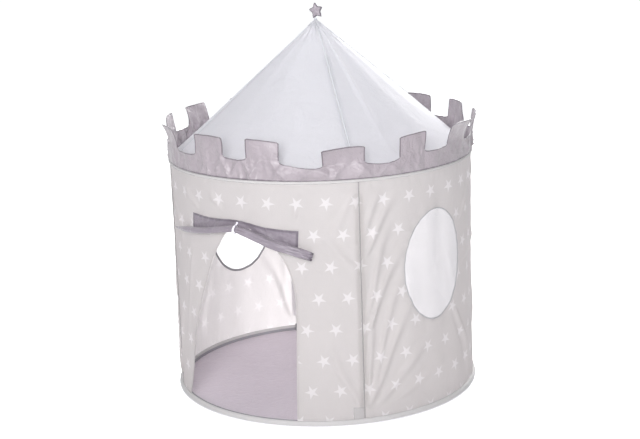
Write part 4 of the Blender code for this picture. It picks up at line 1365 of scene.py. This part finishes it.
battlement = {
    "merlons": 14,
    "share": 0.53,  # of the pitch, taken up by a merlon
    "foot": 0.8213,
    "band": 0.066,
    "rise": 0.066,
    "radius": 0.5275,
    "pucker": 0.0024,
    "sag": 0.007,
    "corner": 0.0035,
    "thickness": 0.0016,
    "threadIn": 0.0048,
    "footThread": 0.07,
    "cover": 0.052,  # cloth between the band's top and a cut edge, under a merlon
    "sideCover": 0.002,
    "flat": (3.315, 0.132),
}
# cells across a merlon and a gap, and rows up the band and a merlon
bandCells = {"merlon": 20, "gap": 18, "rows": 20, "merlonRows": 18}
# where the band slumps or stands a little higher: azimuth, reach in degrees, depth
bandSlumps = ((31.0, 12.0, 0.020), (55.0, 11.0, 0.016), (-4.0, 13.0, -0.006))
# sharp diagonal pulls between the hoop and the merlons' feet: rounds, slope, bend, depth
bandPulls = ((31, 2.6, 2.1, 0.0105), (43, -3.4, 1.6, 0.0095), (71, 1.4, 2.6, 0.0044))
# how far each merlon may lean, twist, curl and so on, drawn in this order
moodRanges = {
    "lean": (-0.004, 0.015),
    "twist": (-0.005, 0.005),
    "curl": (-0.004, 0.007),
    "bow": (-0.002, 0.004),
    "phase": (0, 6.28),
    "slip": (-0.6, 0.6),
    "drop": (0.0, 0.004),
    "shift": (-0.9, 0.9),
    "wide": (0.90, 1.04),
}


def merlonMood(number):
    rng = random.Random(41 + 7 * number)
    mood = {key: rng.uniform(low, high) for key, (low, high) in moodRanges.items()}
    return {**mood, "fall": 0.0}


moods = [merlonMood(number) for number in range(battlement["merlons"])]
# those in front stand as photographed: shift in degrees, then width, lean and twist
for number, shift, wide, lean, twist in (
    (13, 1.9, 1.04, 0.004, 0.003),
    (0, -1.3, 0.90, 0.002, -0.003),
    (1, 1.5, 1.08, 0.024, -0.010),
    (2, 1.8, 0.82, 0.003, 0.003),
    (3, 0.6, 0.98, 0.020, 0.004),
    (4, 0.4, 1.0, 0.016, -0.004),
):
    moods[number].update(shift=shift, wide=wide, lean=lean, twist=twist)
moods[1].update(drop=0.002, fall=0.010)


def merlonSpan(number):
    pitch = 360 / battlement["merlons"]
    wide = battlement["share"] * pitch * moods[number]["wide"]
    return (number + 0.5) * pitch + moods[number]["shift"] - wide / 2, wide


def battlementPoint(azimuth, share, number=None, side=0.0):
    # share runs 0 to 1 up the band and 1 to 2 up a merlon; side runs -1 to 1 across a merlon
    azimuth, share = np.asarray(azimuth, float), np.asarray(share, float)
    low = np.clip(share, 0, 1)
    ripple = roundWave(azimuth, 47, 2.4 * roundWave(azimuth, 11))
    fine = roundWave(azimuth, 118, 1.9 * roundWave(azimuth, 31))
    ends = bell(low, 0.30) * ease(0, 0.06, low) + 0.9 * bell(low - 1, 0.34)
    out = battlement["pucker"] * (0.75 * ripple * np.sin(math.pi * low) + 0.55 * fine * ends)
    body = ease(0, 0.10, low) * (1 - 0.55 * ease(0.7, 1.0, low))
    for rounds, slope, bend, depth in bandPulls:
        turn = np.radians(azimuth * rounds) + slope * low + bend * np.sin(np.radians(azimuth * 5 + rounds))
        fold = (1 - np.abs(np.sin(turn / 2))) ** 3.0 - 0.2
        out = out + depth * body * fold * (0.6 + 0.4 * np.sin(np.radians(azimuth * 3 + rounds)))
    turned = fromFront(azimuth)
    slump = sum(depth * bell(turned - middle, reach) for middle, reach, depth in bandSlumps)
    out = out + 0.6 * np.maximum(slump, 0) * np.sin(math.pi * low)
    height = battlement["foot"] + battlement["band"] * low - slump * low
    if number is None:
        return spot(azimuth, battlement["radius"] + out, height)
    mood = moods[number]
    rise = np.clip(share - 1, 0, 1)
    out = out * bell(rise, 0.30)
    out = out + mood["lean"] * rise**1.4 + mood["twist"] * side * rise
    out = out + mood["curl"] * (rise**3) * side**2 + mood["bow"] * np.sin(math.pi * rise) * (1 - side**2)
    out = out + 0.0014 * np.sin(side * 7 + mood["phase"] + 2.2 * rise) * (1 - 0.5 * rise) * ease(0, 0.2, rise)
    height = height + (battlement["rise"] - mood["fall"]) * rise
    height = height - mood["drop"] * rise * (0.5 + 0.5 * side) - 0.0012 * side**2 * rise
    return spot(azimuth + mood["slip"] * rise, battlement["radius"] + out, height)


def bandColumns():
    # for each column of the band: its azimuth, its share of the gap's sag and the cloth above it
    azimuths, sags, covers = [], [], []
    for number in range(battlement["merlons"]):
        start, wide = merlonSpan(number)
        following = merlonSpan((number + 1) % battlement["merlons"])[0]
        gap = (following - start) % 360 - wide
        for step in range(bandCells["merlon"]):
            azimuths.append(start + wide * step / bandCells["merlon"])
            sags.append(0.0)
            covers.append(battlement["cover"] if step else battlement["sideCover"])
        for step in range(bandCells["gap"]):
            azimuths.append(start + wide + gap * step / bandCells["gap"])
            sags.append(math.sin(math.pi * step / bandCells["gap"]) ** 0.5)
            covers.append(0.0 if step else battlement["sideCover"])
    return np.array(azimuths), np.array(sags), np.array(covers)


def makeBattlement():
    azimuths, sags, covers = bandColumns()
    count, rows = len(azimuths), bandCells["rows"]
    azimuth, share = np.meshgrid(azimuths, np.arange(rows + 1) / rows)
    grid = battlementPoint(azimuth, share)
    grid[..., 2] -= battlement["sag"] * sags * share**2
    up = share * battlement["band"]
    points = list(grid.reshape(-1, 3))
    flats = list(flatPairs(np.radians(azimuth) * battlement["radius"], up))
    edges = list(np.minimum(up, (1 - share) * battlement["band"] + covers).ravel())
    quads = gridQuads(numberGrid(azimuth), roundAcross=True).tolist()
    across = bandCells["merlon"]
    side = np.linspace(-1, 1, across + 1)
    for number in range(battlement["merlons"]):
        first = number * (across + bandCells["gap"])
        lower = [rows * count + (first + step) % count for step in range(across + 1)]
        start, wide = merlonSpan(number)
        places = start + wide * (side + 1) / 2
        fromSide = (1 - np.abs(side)) * math.radians(wide / 2) * battlement["radius"]
        for row in range(1, bandCells["merlonRows"] + 1):
            share = 1 + row / bandCells["merlonRows"]
            # the upper corners are a little rounded
            outer = np.clip((np.abs(side) - 0.86) / 0.14, 0, 1) ** 2
            corner = outer * np.clip((share - 1.88) / 0.12, 0, 1) * battlement["corner"]
            upper = list(range(len(points), len(points) + across + 1))
            points.extend(battlementPoint(places, share - corner / battlement["rise"], number, side))
            up = np.full(side.shape, battlement["band"] + (share - 1) * battlement["rise"])
            flats.extend(flatPairs(np.radians(places) * battlement["radius"], up))
            edges.extend(np.minimum(fromSide, (2 - share) * battlement["rise"]))
            quads += [(lower[k], lower[k + 1], upper[k + 1], upper[k]) for k in range(across)]
            lower = upper
    band = meshPiece("battlementBand", np.array(points), quads, np.array(flats), np.array(edges))
    finishCloth(band, "bandCloth", battlement["thickness"])
    return place(band, "top_ring", "battlement", ["battlement"])


def makeBattlementStitches():
    # a run inside each merlon's edge, and one along the foot of the band
    runs = []

    def addRun(points):
        out = radialOut(points)
        runs.append((points + out * 0.0002, out))

    inset = battlement["threadIn"]
    reachUp = 2 - inset / battlement["rise"]
    rising = np.linspace(1.0, reachUp, 14)
    for number in range(battlement["merlons"]):
        start, wide = merlonSpan(number)
        reach = 1 - inset / (math.radians(wide / 2) * battlement["radius"])
        sides = np.concatenate([np.full(14, -reach), np.linspace(-reach, reach, 16), np.full(14, reach)])
        shares = np.concatenate([rising, np.full(16, reachUp), rising[::-1]])
        addRun(battlementPoint(start + wide * (sides + 1) / 2, shares, number, sides))
    addRun(battlementPoint(np.linspace(0, 360, 1400), np.full(1400, battlement["footThread"])))
    stitches = threadStitches("battlementStitches", runs, "darkThread")
    return place(stitches, "top_ring", "battlement")


battlementBand = makeBattlement()
battlementStitches = makeBattlementStitches()
print("battlement made")


# roof, peak and finial

roof = {
    "foot": 0.8222,
    "radius": 0.523,
    "rise": 0.4537,
    "tipRadius": 0.012,
    "ridge": 0.0032,
    "ridgeSpread": 5.0,
    "sag": 0.0065,
    "ripple": 0.0011,
    "eaves": 0.0010,
    "pleats": 0.0016,
    # the felled ridge's section: pairs of (sideways, out from the cloth)
    "seam": ((-0.0017, 0.0002), (-0.0010, 0.0010), (0.0, 0.0013), (0.0010, 0.0010), (0.0017, 0.0002)),
    "seamRun": 0.69,
    "besideSeam": 0.004,
    "threadRadius": 0.30,  # where the weave lies true to size
}
# creases up the cone: azimuth, drift to the tip, width in degrees, depth
roofCreases = ((62, 2, 2.0, 0.0048), (-6, -4, 2.6, 0.0014), (160, -5, 3.0, 0.0014))
roofSlope = math.atan2(roof["rise"], roof["radius"])
roofSlant = math.hypot(roof["rise"], roof["radius"])


def roofWave(azimuth, share):
    azimuth, share = np.asarray(azimuth, float), np.asarray(share, float)
    seam, turned, inside = seamSide(azimuth), fromFront(azimuth), np.clip(share, 0, 1)
    free = 1 - bell(seam, 16)
    wave = roof["ridge"] * bell(seam, roof["ridgeSpread"]) * np.sin(math.pi * inside)
    wave -= roof["sag"] * free * np.sin(math.pi * inside**0.8) * (1 - share)
    for middle, drift, width, depth in roofCreases:
        wave += depth * bell(turned - middle - drift * share, width) * np.sin(math.pi * share)
    wave += roof["ripple"] * roundWave(azimuth, 17, 2 * share) * free * np.sin(math.pi * share)
    gather = roundWave(azimuth, 61, 2 * roundWave(azimuth, 13))
    wave += roof["eaves"] * gather * bell(share, 0.05) * ease(0, 0.01, share)
    wave += roof["pleats"] * roundWave(azimuth, 19) * ease(0.80, 0.95, share)
    return wave


def roofRadius(share):
    return roof["radius"] + (roof["tipRadius"] - roof["radius"]) * np.asarray(share, float)


def roofSpot(azimuth, radius, out):
    # a point off the cone's plain surface, square to its slope
    height = roof["foot"] + (roof["radius"] - radius) * math.tan(roofSlope)
    return spot(azimuth, radius + out * math.sin(roofSlope), height + out * math.cos(roofSlope))


def onRoof(azimuth, share, out=0.0):
    return roofSpot(azimuth, roofRadius(share), roofWave(azimuth, share) + out)


def makeRoof():
    columns, rows = 420, 84
    azimuths = np.linspace(0, 360, columns, endpoint=False)
    azimuth, share = np.meshgrid(azimuths, np.linspace(0, 1, rows) ** 0.95)
    quads = gridQuads(numberGrid(azimuth), roundAcross=True)
    flat = flatPairs(np.radians(azimuth) * roof["threadRadius"], share * roofSlant)
    cone = meshPiece("roofCone", onRoof(azimuth, share), quads, flat)
    finishCloth(cone, "roofCloth")
    return place(cone, "top_ring", "roof", ["roof"], "roof")


def makeRoofStitches():
    runs = []
    shares = np.linspace(0.02, 0.90, 150)
    for azimuth in tent["seams"]:
        for side in (-roof["besideSeam"], roof["besideSeam"]):
            turned = azimuth + np.degrees(side / np.maximum(roofRadius(shares), 0.05))
            points = onRoof(turned, shares, 0.0002)
            runs.append((points, radialOut(points) * 0.66 + np.array([0, 0, 0.75])))
    stitches = threadStitches("roofStitches", runs, "stitchThread")
    return place(stitches, "top_ring", "roof", [], "roof")


def makeRoofSeams():
    # one felled ridge over each roof pole, from the eaves to under the peak cap; its darker colour is partly
    # painted shadow, the dark line along the pole
    shares = np.linspace(0.004, 0.955, 150)
    made = []
    for name, azimuth in zip(tent["poles"], tent["seams"]):
        rows, flats = [], []
        for side, out in roof["seam"]:
            rows.append(onRoof(azimuth + np.degrees(side / roofRadius(shares)), shares, out))
            flats.append(flatPairs(np.full(150, side), shares * roof["seamRun"]))
        points = np.stack(rows)
        quads = gridQuads(numberGrid(points[..., 0]), flip=True)
        ridge = meshPiece(name + "RoofSeam", points, quads, np.stack(flats))
        finishCloth(ridge, "roofSeam", 0.0004, 0.0)
        made.append(place(ridge, "top_ring", "roof", [], "roof"))
    return made


def makeRoofSleeves():
    made = []
    section = humpSection(sleeves["roof"])
    radii = np.linspace(sleeves["roof"]["low"], sleeves["roof"]["high"], 90)
    across, radius = np.meshgrid(section[:, 0], radii)
    depth = np.meshgrid(section[:, 1], radii)[0] + 0.0012
    share = (roof["radius"] - radius) / (roof["radius"] - roof["tipRadius"])
    for name, azimuth in zip(tent["poles"], tent["seams"]):
        angle = azimuth + np.degrees(across / radius)
        # the flanges follow the cone, and the hump stays on its pole
        lie = roofWave(angle, share) * (1 - ease(0.0012, 0.005, depth)) - depth
        quads, flat = gridQuads(numberGrid(across)), flatPairs(across, radius)
        sleeve = meshPiece(name + "RoofSleeve", roofSpot(angle, radius, lie), quads, flat)
        finishCloth(sleeve, "roofCloth", sleeves["thickness"])
        made.append(place(sleeve, "top_ring", name + "_roof_sleeve", [name + "_roof_sleeve"], "roof"))
    return made


peak = {
    "radius": 0.028,
    "tip": 0.0012,
    "over": 0.0018,  # how far it lies over the cone
    "pleats": 15,
    "pleatDepth": 0.0013,
    "frill": 0.0012,
    "top": 1.2753,
    "run": 0.042,
    "thickness": 0.0007,
    "flat": (0.09, 0.09),
    "area": 0.0042,
}


def makePeakCap():
    columns, rows = 180, 26
    azimuths = np.linspace(0, 360, columns, endpoint=False)
    azimuth, share = np.meshgrid(azimuths, np.linspace(0, 1, rows))
    radius = peak["radius"] * (1 - share) + peak["tip"] * share
    base = roof["foot"] + (roof["radius"] - radius) * math.tan(roofSlope) + peak["over"] / math.cos(roofSlope)
    wobble = roundWave(azimuth, peak["pleats"], 0.8 * roundWave(azimuth, 4))
    pleat = peak["pleatDepth"] * wobble * np.sin(math.pi * np.clip(share * 1.15, 0, 1)) ** 0.5
    frill = peak["frill"] * roundWave(azimuth, peak["pleats"]) * bell(share, 0.10)
    wave = pleat * (1 - 0.6 * share) + frill
    height = np.minimum(base + wave * math.cos(roofSlope), peak["top"])
    points = spot(azimuth, radius + wave * math.sin(roofSlope), height)
    number = numberGrid(azimuth)
    quads = gridQuads(number, roundAcross=True).tolist() + [number[-1].tolist()]
    flat = flatPairs(np.radians(azimuth) * peak["radius"], share * peak["run"])
    cap = meshPiece("peakCap", points, quads, flat)
    finishCloth(cap, "roofCloth", peak["thickness"])
    return place(cap, "peak", "peak_cap", ["peak_cap"])


roofCone = makeRoof()
roofStitches = makeRoofStitches()
roofSeams = makeRoofSeams()
roofSleeves = makeRoofSleeves()
peakCap = makePeakCap()
print("roof made")

finial = {
    "reach": 0.0285,
    "waist": 0.0178,
    "thick": 0.020,
    "tilt": -11.0,
    "valley": 0.12,
    "pucker": 0.0007,
    "seam": {"length": 0.0020, "gap": 0.0010, "width": 0.0005},
}
# the tab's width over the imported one's, how much it narrows and how deep it is tucked in
finialTabFacts = {"widened": 2.3, "narrowing": 0.58, "waist": 0.10, "tuck": 0.0015, "thickness": 0.0010}


def makeFinialTab():
    low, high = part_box("finial_tab")
    facts = finialTabFacts
    across, up = np.meshgrid(np.linspace(-1, 1, 9), np.linspace(0, 1, 16))
    half = (high.x - low.x) / 2 * facts["widened"]
    narrowing = 1 - facts["narrowing"] * ease(0, 0.9, up)
    x = across * half * narrowing * (1 - facts["waist"] * np.sin(math.pi * up))
    y = 0.0004 * np.sin(across * 3 + up * 5)
    foot = low.z - facts["tuck"]
    z = foot + (high.z - foot) * up
    tab = meshPiece("finialTab", np.stack([x, y, z], axis=-1), gridQuads(numberGrid(across)), flatPairs(x, z))
    finishCloth(tab, "roofSeam", facts["thickness"], 0.0)
    return place(tab, "peak", "finial_tab", ["finial_tab"])


def starReach(angle):
    fifth = 2 * math.pi / 5
    fold = np.abs((angle - math.pi / 2 + fifth / 2) % fifth - fifth / 2) / (fifth / 2)
    return finial["reach"] + (finial["waist"] - finial["reach"]) * np.sin(math.pi / 2 * fold) ** 1.05


def starFace(face, share, angles):
    # one ring of a puffed face, its place in the flat and its distance from the outline
    reach = starReach(angles) * share
    crown = math.sqrt(max(0.0, 1 - share**2.2)) * (1 - 0.30 * share)
    pucker = finial["pucker"] * np.sin(30 * angles) * math.exp(-(((share - 0.9) / 0.10) ** 2))
    valley = 1 - finial["valley"] * np.cos(5 * (angles - math.pi / 2)) * share
    depth = face * (finial["thick"] / 2 * crown / valley * 0.96 + pucker * (share < 1))
    x, z = reach * np.cos(angles), reach * np.sin(angles)
    fromOutline = np.full(len(angles), (1 - share) * finial["waist"])
    return np.stack([x, -depth, z], axis=1), flatPairs(x, z), fromOutline


def makeStarFinial():
    # two puffed faces that share the ring of their outline
    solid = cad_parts["star_finial"].data.vertices
    centre = sum((Vector(v.co) for v in solid), Vector()) / len(solid)
    turns, rings = 150, 26
    angles = np.linspace(0, 2 * math.pi, turns, endpoint=False)
    shares = [ring / (rings - 1) for ring in range(rings)]
    made = [starFace(1, share, angles) for share in shares]
    made += [starFace(-1, share, angles) for share in shares[:-1]]
    points, flats, edges = (np.concatenate(part) for part in zip(*made))
    number = np.arange(len(points)).reshape(-1, turns)
    front = number[1:rings]
    back = np.vstack([number[rings + 1 :], number[rings - 1 : rings]])
    quads = gridQuads(front, roundAcross=True).tolist() + [front[0].tolist()]
    quads += gridQuads(back, roundAcross=True)[:, ::-1].tolist() + [back[0][::-1].tolist()]
    star = meshPiece("starFinial", points, quads, flats, edges)
    faceOutwards(star)
    lay = Matrix.Translation(centre) @ Matrix.Rotation(math.radians(finial["tilt"]), 4, "Y")
    star.data.transform(lay)
    finishCloth(star, "starCloth", 0, sharp=120)
    place(star, "star", "star_finial", ["star_finial"])
    # the seam's thread round the outline
    reach = starReach(angles) * 1.004
    rim = np.stack([reach * np.cos(angles), 0 * angles, reach * np.sin(angles)], axis=1)
    ring = np.array([lay @ Vector(p) for p in np.vstack([rim, rim[:1]])])
    seam = threadStitches("starSeam", [(ring, ring - np.array(centre))], "darkThread", finial["seam"])
    place(seam, "star", "star_finial")
    return star, seam


finialTab = makeFinialTab()
starFinial, starSeam = makeStarFinial()
print("finial made")


# door curtain: stitched header, rolled cloth and ribbon

header = {
    "width": 0.406,
    "height": 0.084,
    "top": 0.673,
    "tilt": 3.5,
    "shift": 0.008,
    "radius": 0.5246,
    "lift": 0.013,
    "liftReach": 0.085,
    "clear": 0.0018,  # from the wall
    "pulls": 0.0026,
    "hem": 0.0085,
    "hemRaise": 0.0007,
    "threads": (0.0018, 0.0068),
    "thickness": 0.0010,
}


def headerEdges(across):
    # the strip's top edge, lifted at the tie, and how far the cloth shows above the roll
    turn = math.radians(header["tilt"])
    top = header["top"] - across * math.sin(turn) + header["lift"] * bell(across, header["liftReach"])
    x = across * math.cos(turn) + header["shift"]
    azimuth = np.degrees(np.arcsin(np.clip(x / header["radius"], -1, 1)))
    drop = np.clip(top - rollCentre(azimuth)[..., 2] + 0.003, 0.004, header["height"])
    return top, drop


def onHeader(across, down, out=0.0):
    # across and down are metres on the flat strip, from the middle of its top edge
    turn = math.radians(header["tilt"])
    across = np.asarray(across, float)
    top, drop = headerEdges(across)
    share = down / drop
    z = top - down * math.cos(turn)
    x = across * math.cos(turn) - down * math.sin(turn) + header["shift"]
    azimuth = np.degrees(np.arcsin(np.clip(x / header["radius"], -1, 1)))
    pulls = header["pulls"] * bell(across, 0.16) * np.sin(across * 62 / (0.35 + share) + 0.8) * share
    buckle = 0.0012 * np.sin(across * 95 + 2 * share) * np.sin(math.pi * np.clip(share, 0, 1))
    buckle = buckle + 0.0008 * np.sin(across * 210 + 1.5 * np.sin(across * 40)) * (1 - share) ** 2
    wallOut = np.maximum(wallWave(azimuth, z), -0.001)
    return spot(azimuth, header["radius"] + wallOut + header["clear"] + buckle + pulls + out, z)


def makeHeader():
    half = header["width"] / 2
    across, share = np.meshgrid(np.linspace(-half, half, 118), np.linspace(0, 1, 27))
    down = share * headerEdges(across)[1]
    edge = np.minimum(half - np.abs(across), down)
    raised = header["hemRaise"] * (1 - ease(header["hem"] - 0.001, header["hem"] + 0.001, edge))
    quads = gridQuads(numberGrid(across), flip=True)
    points = onHeader(across, down, raised)
    strip = meshPiece("curtainHeader", points, quads, flatPairs(across, down), edge.ravel())
    finishCloth(strip, "curtainCloth", header["thickness"])
    place(strip, "curtain_header", "curtain_header", ["curtain_header"])
    runs = []
    for inset in header["threads"]:
        side = half - inset
        leftEnd, rightEnd = (headerEdges(np.array(end))[1] * 0.9 for end in (-side, side))
        line = np.vstack([
            flatPairs(np.full(16, -side), np.linspace(leftEnd, inset, 16)),
            flatPairs(np.linspace(-side, side, 160), np.full(160, inset)),
            flatPairs(np.full(16, side), np.linspace(inset, rightEnd, 16)),
        ])
        points = onHeader(line[:, 0], line[:, 1], 0.0009)
        runs.append((points, radialOut(points)))
    stitches = threadStitches("headerStitches", runs, "darkThread")
    place(stitches, "curtain_header", "curtain_header")
    return strip, stitches


roll = {
    "at": 0.5416,
    "height": 0.652,
    "radius": 0.0143,
    "leftEnd": -35.5,
    "rightEnd": 28.0,
    "dropLeft": 0.037,
    "dropRight": 0.072,
    "turns": 2.75,
    "core": 0.0022,
    "tieAt": 0.9,
    "lift": 0.009,
    "thickness": 0.0011,
    "folds": 0.0019,
    "creases": 0.0013,
    "fineCreases": 0.0010,
    "gathers": 0.0016,
}


def rollCentre(azimuth):
    azimuth = np.asarray(azimuth, float)
    left = roll["dropLeft"] * np.clip(azimuth / roll["leftEnd"], 0, None) ** 0.9
    right = roll["dropRight"] * np.clip(azimuth / roll["rightEnd"], 0, None) ** 1.15
    lift = roll["lift"] * bell(azimuth - roll["tieAt"], 11)
    return spot(azimuth, roll["at"], roll["height"] + lift - np.where(azimuth < 0, left, right))


def rollScale(azimuth):
    # how thick the roll is along its length, pinched at the tie
    azimuth = np.asarray(azimuth, float)
    fromTie = azimuth - roll["tieAt"]
    rightShare = np.clip(fromTie / (roll["rightEnd"] - roll["tieAt"]), 0, 1)
    leftShare = np.clip(fromTie / (roll["leftEnd"] - roll["tieAt"]), 0, 1)
    right = 1.0 + 0.20 * ease(0.05, 0.5, rightShare) - 0.10 * ease(0.75, 1.0, rightShare)
    left = 0.92 - 0.14 * leftShare - 0.66 * ease(0.66, 1.0, leftShare)
    return np.where(fromTie < 0, left, right) * (1 - 0.24 * bell(fromTie, 1.7))


def rollFrame(azimuths):
    # the roll's middle line, with its own direction, outwards and upwards at each station
    centres = rollCentre(azimuths)
    tangents = np.gradient(centres, axis=0)
    tangents /= np.linalg.norm(tangents, axis=1)[:, None]
    outs = radialOut(centres)
    outs -= (outs * tangents).sum(axis=1)[:, None] * tangents
    outs /= np.linalg.norm(outs, axis=1)[:, None]
    ups = np.cross(tangents, outs)
    ups *= np.sign(ups[:, 2])[:, None]
    return centres, tangents, outs, ups


def rollSection(azimuth, spread):
    # the spiral across the roll as (out, up), and how ragged its end is there
    onRight = azimuth > 0
    far = abs(azimuth) / (roll["rightEnd"] if onRight else -roll["leftEnd"])
    side = 1.35 if onRight else 0.45
    angles = 2 * math.pi * roll["turns"] * spread
    reach = roll["core"] + (roll["radius"] - 0.0012 - roll["core"]) * spread
    swelling = math.sin(math.pi * min(far * 1.1 + 0.15, 1))
    folds = roll["folds"] * side * np.sin(4 * angles + 5.5 * far + 0.7) * swelling
    folds += roll["creases"] * side * np.sin(7 * angles - 9 * far) * (0.3 + 0.7 * far)
    folds += roll["fineCreases"] * side * np.sin(11 * angles + 14 * far + 2) * far**2
    nearTie = math.exp(-(((abs(azimuth - roll["tieAt"]) - 2.4) / 1.9) ** 2))
    gathers = roll["gathers"] * np.sin(9 * angles + 1.3) * nearTie
    radius = (reach + (folds + gathers) * spread**1.5) * float(rollScale(azimuth))
    if onRight:
        crush = 1.0 - 0.04 * far
        ragged = 0.004 * np.sin(3 * angles + 1) * max(0.0, far - 0.93) / 0.07
    else:
        crush = 1 - 0.22 * far
        ragged = 0.0018 * np.sin(2 * angles) * max(0.0, far - 0.95) / 0.05
    turn = angles - 1.9
    return radius * np.cos(turn), radius * np.sin(turn), crush, ragged


def makeRoll():
    stations, perTurn = 150, 40
    steps = round(roll["turns"] * perTurn)
    azimuths = np.linspace(roll["leftEnd"], roll["rightEnd"], stations)
    spread = np.linspace(0, 1, steps + 1)
    run = np.radians(azimuths) * roll["at"]
    rows, flats = [], []
    for azimuth, along, centre, tangent, outward, upward in zip(azimuths, run, *rollFrame(azimuths)):
        out, up, crush, ragged = rollSection(azimuth, spread)
        across = np.outer(out * crush, outward) + np.outer(up, upward)
        rows.append(centre + across + np.outer(ragged, tangent))
        girth = np.concatenate([[0], np.cumsum(np.hypot(np.diff(out), np.diff(up)))])
        flats.append(flatPairs(np.full(len(girth), along), girth))
    points, flats = np.stack(rows), np.stack(flats)
    edge = np.minimum(np.abs(run - run[0]), np.abs(run - run[-1]))
    edges = np.repeat(edge[:, None], steps + 1, axis=1)
    rolled = meshPiece("curtainRoll", points, gridQuads(numberGrid(edges)), flats, edges)
    finishCloth(rolled, "curtainCloth", roll["thickness"], 0.0)
    place(rolled, "curtain_roll", "curtain_roll", ["curtain_roll"])
    return rolled, float(flats[:, -1, 1].mean())


ribbon = {
    "half": 0.0042,
    "tailHalf": 0.0036,
    "over": 0.0016,
    "thickness": 0.0006,
    "narrowing": 0.14,
    "sway": 0.0010,
    "step": 0.0014,
    "fromWall": 0.0042,
    "underTop": 0.0045,
}


def ribbonMesh(name, line, half, closed):
    # line: (out from the roll's middle, up) pairs in the plane across the roll
    centre = rollCentre(np.array(roll["tieAt"]))
    sides = np.linspace(-1, 1, 7)
    travel = np.linspace(0, 2 * math.pi, len(line))
    width = half * (1 - ribbon["narrowing"] * np.sin(3 * travel) ** 2)
    x = centre[0] + sides[None, :] * width[:, None] + ribbon["sway"] * np.sin(travel)[:, None]
    y = centre[1] - line[:, :1] + 0 * sides[None, :]
    z = centre[2] + line[:, 1:] + 0 * sides[None, :]
    flat = np.stack(np.meshgrid(sides * half, np.arange(len(line)) * ribbon["step"]), axis=-1)
    quads = gridQuads(numberGrid(x), roundUp=closed)
    piece = meshPiece(name, np.stack([x, y, z], axis=-1), quads, flat)
    return finishCloth(piece, "ribbonSatin", ribbon["thickness"], 0.0)


def makeRibbon():
    # a loop round the roll, and the tails that hold it to the strip's top edge
    radius = roll["radius"] * float(rollScale(np.array(roll["tieAt"]))) + ribbon["over"]
    turns = np.linspace(0, 2 * math.pi, 56, endpoint=False)
    squared = 1 + 0.05 * np.cos(4 * turns)
    ring = flatPairs(radius * np.cos(turns) * squared, radius * np.sin(turns) * squared)
    loop = ribbonMesh("curtainTie", ring, ribbon["half"], True)
    place(loop, "curtain_roll", "curtain_tie", ["curtain_tie"])
    top = float(headerEdges(np.array(0.0))[0]) - rollCentre(np.array(roll["tieAt"]))[2]
    wallSide = -(roll["at"] - header["radius"] - ribbon["fromWall"])
    line = np.array([
        [wallSide, top - ribbon["underTop"]],
        [wallSide + 0.0012, top - ribbon["underTop"] - 0.0030],
        [-radius * 0.55, radius * 0.98],
        [-radius * 0.25, radius * 1.10],
    ])
    line = smoothLine(denseLine(line, ribbon["step"], closed=False))
    tails = ribbonMesh("curtainTieTails", line, ribbon["tailHalf"], False)
    place(tails, "curtain_header", "curtain_header")
    return loop, tails


curtainHeader, headerStitches = makeHeader()
curtainRoll, rollGirth = makeRoll()
curtainTie, curtainTieTails = makeRibbon()
print("curtain made")


# webbing pockets and the finish of poles, ferrules, tips and hoops

webbing = {"eased": 0.0005, "segments": 2, "flatAngle": 0.01}


def makePocket(node, body):
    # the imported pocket's own shape, with its edges eased like folded webbing
    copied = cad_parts[node].data.copy()
    pocket = bpy.data.objects.new(node.replace("_", "") + "Webbing", copied)
    bpy.context.scene.collection.objects.link(pocket)
    shape = bmesh.new()
    shape.from_mesh(copied)
    bmesh.ops.remove_doubles(shape, verts=shape.verts, dist=1e-6)
    bmesh.ops.dissolve_limit(shape, angle_limit=webbing["flatAngle"], verts=shape.verts, edges=shape.edges)
    bmesh.ops.bevel(
        shape, geom=shape.edges[:], offset=webbing["eased"], segments=webbing["segments"],
        affect="EDGES", clamp_overlap=True,
    )
    layer = shape.loops.layers.uv.get("flat") or shape.loops.layers.uv.new("flat")
    for face in shape.faces:
        for loop in face.loops:
            loop[layer].uv = (loop.vert.co.x + loop.vert.co.y, loop.vert.co.z)
    shape.to_mesh(copied)
    shape.free()
    finishCloth(pocket, "webbing", 0, sharp=40)
    return place(pocket, body, node, [node])


for poleName in tent["poles"]:
    makePocket(poleName + "_foot_pocket", "base")
    makePocket(poleName + "_eave_pocket", "top_ring")

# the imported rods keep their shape, and the ending of a name tells the finish
rodFinish = {"_pole": "glassFibre", "_ferrule": "ferruleMetal", "_foot_tip": "tipRubber", "_hoop": "hoopWire"}
for nodeName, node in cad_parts.items():
    for ending, finish in rodFinish.items():
        if nodeName.endswith(ending):
            node.data.materials.clear()
            node.data.materials.append(materials[finish])
print("poles and hoops finished")
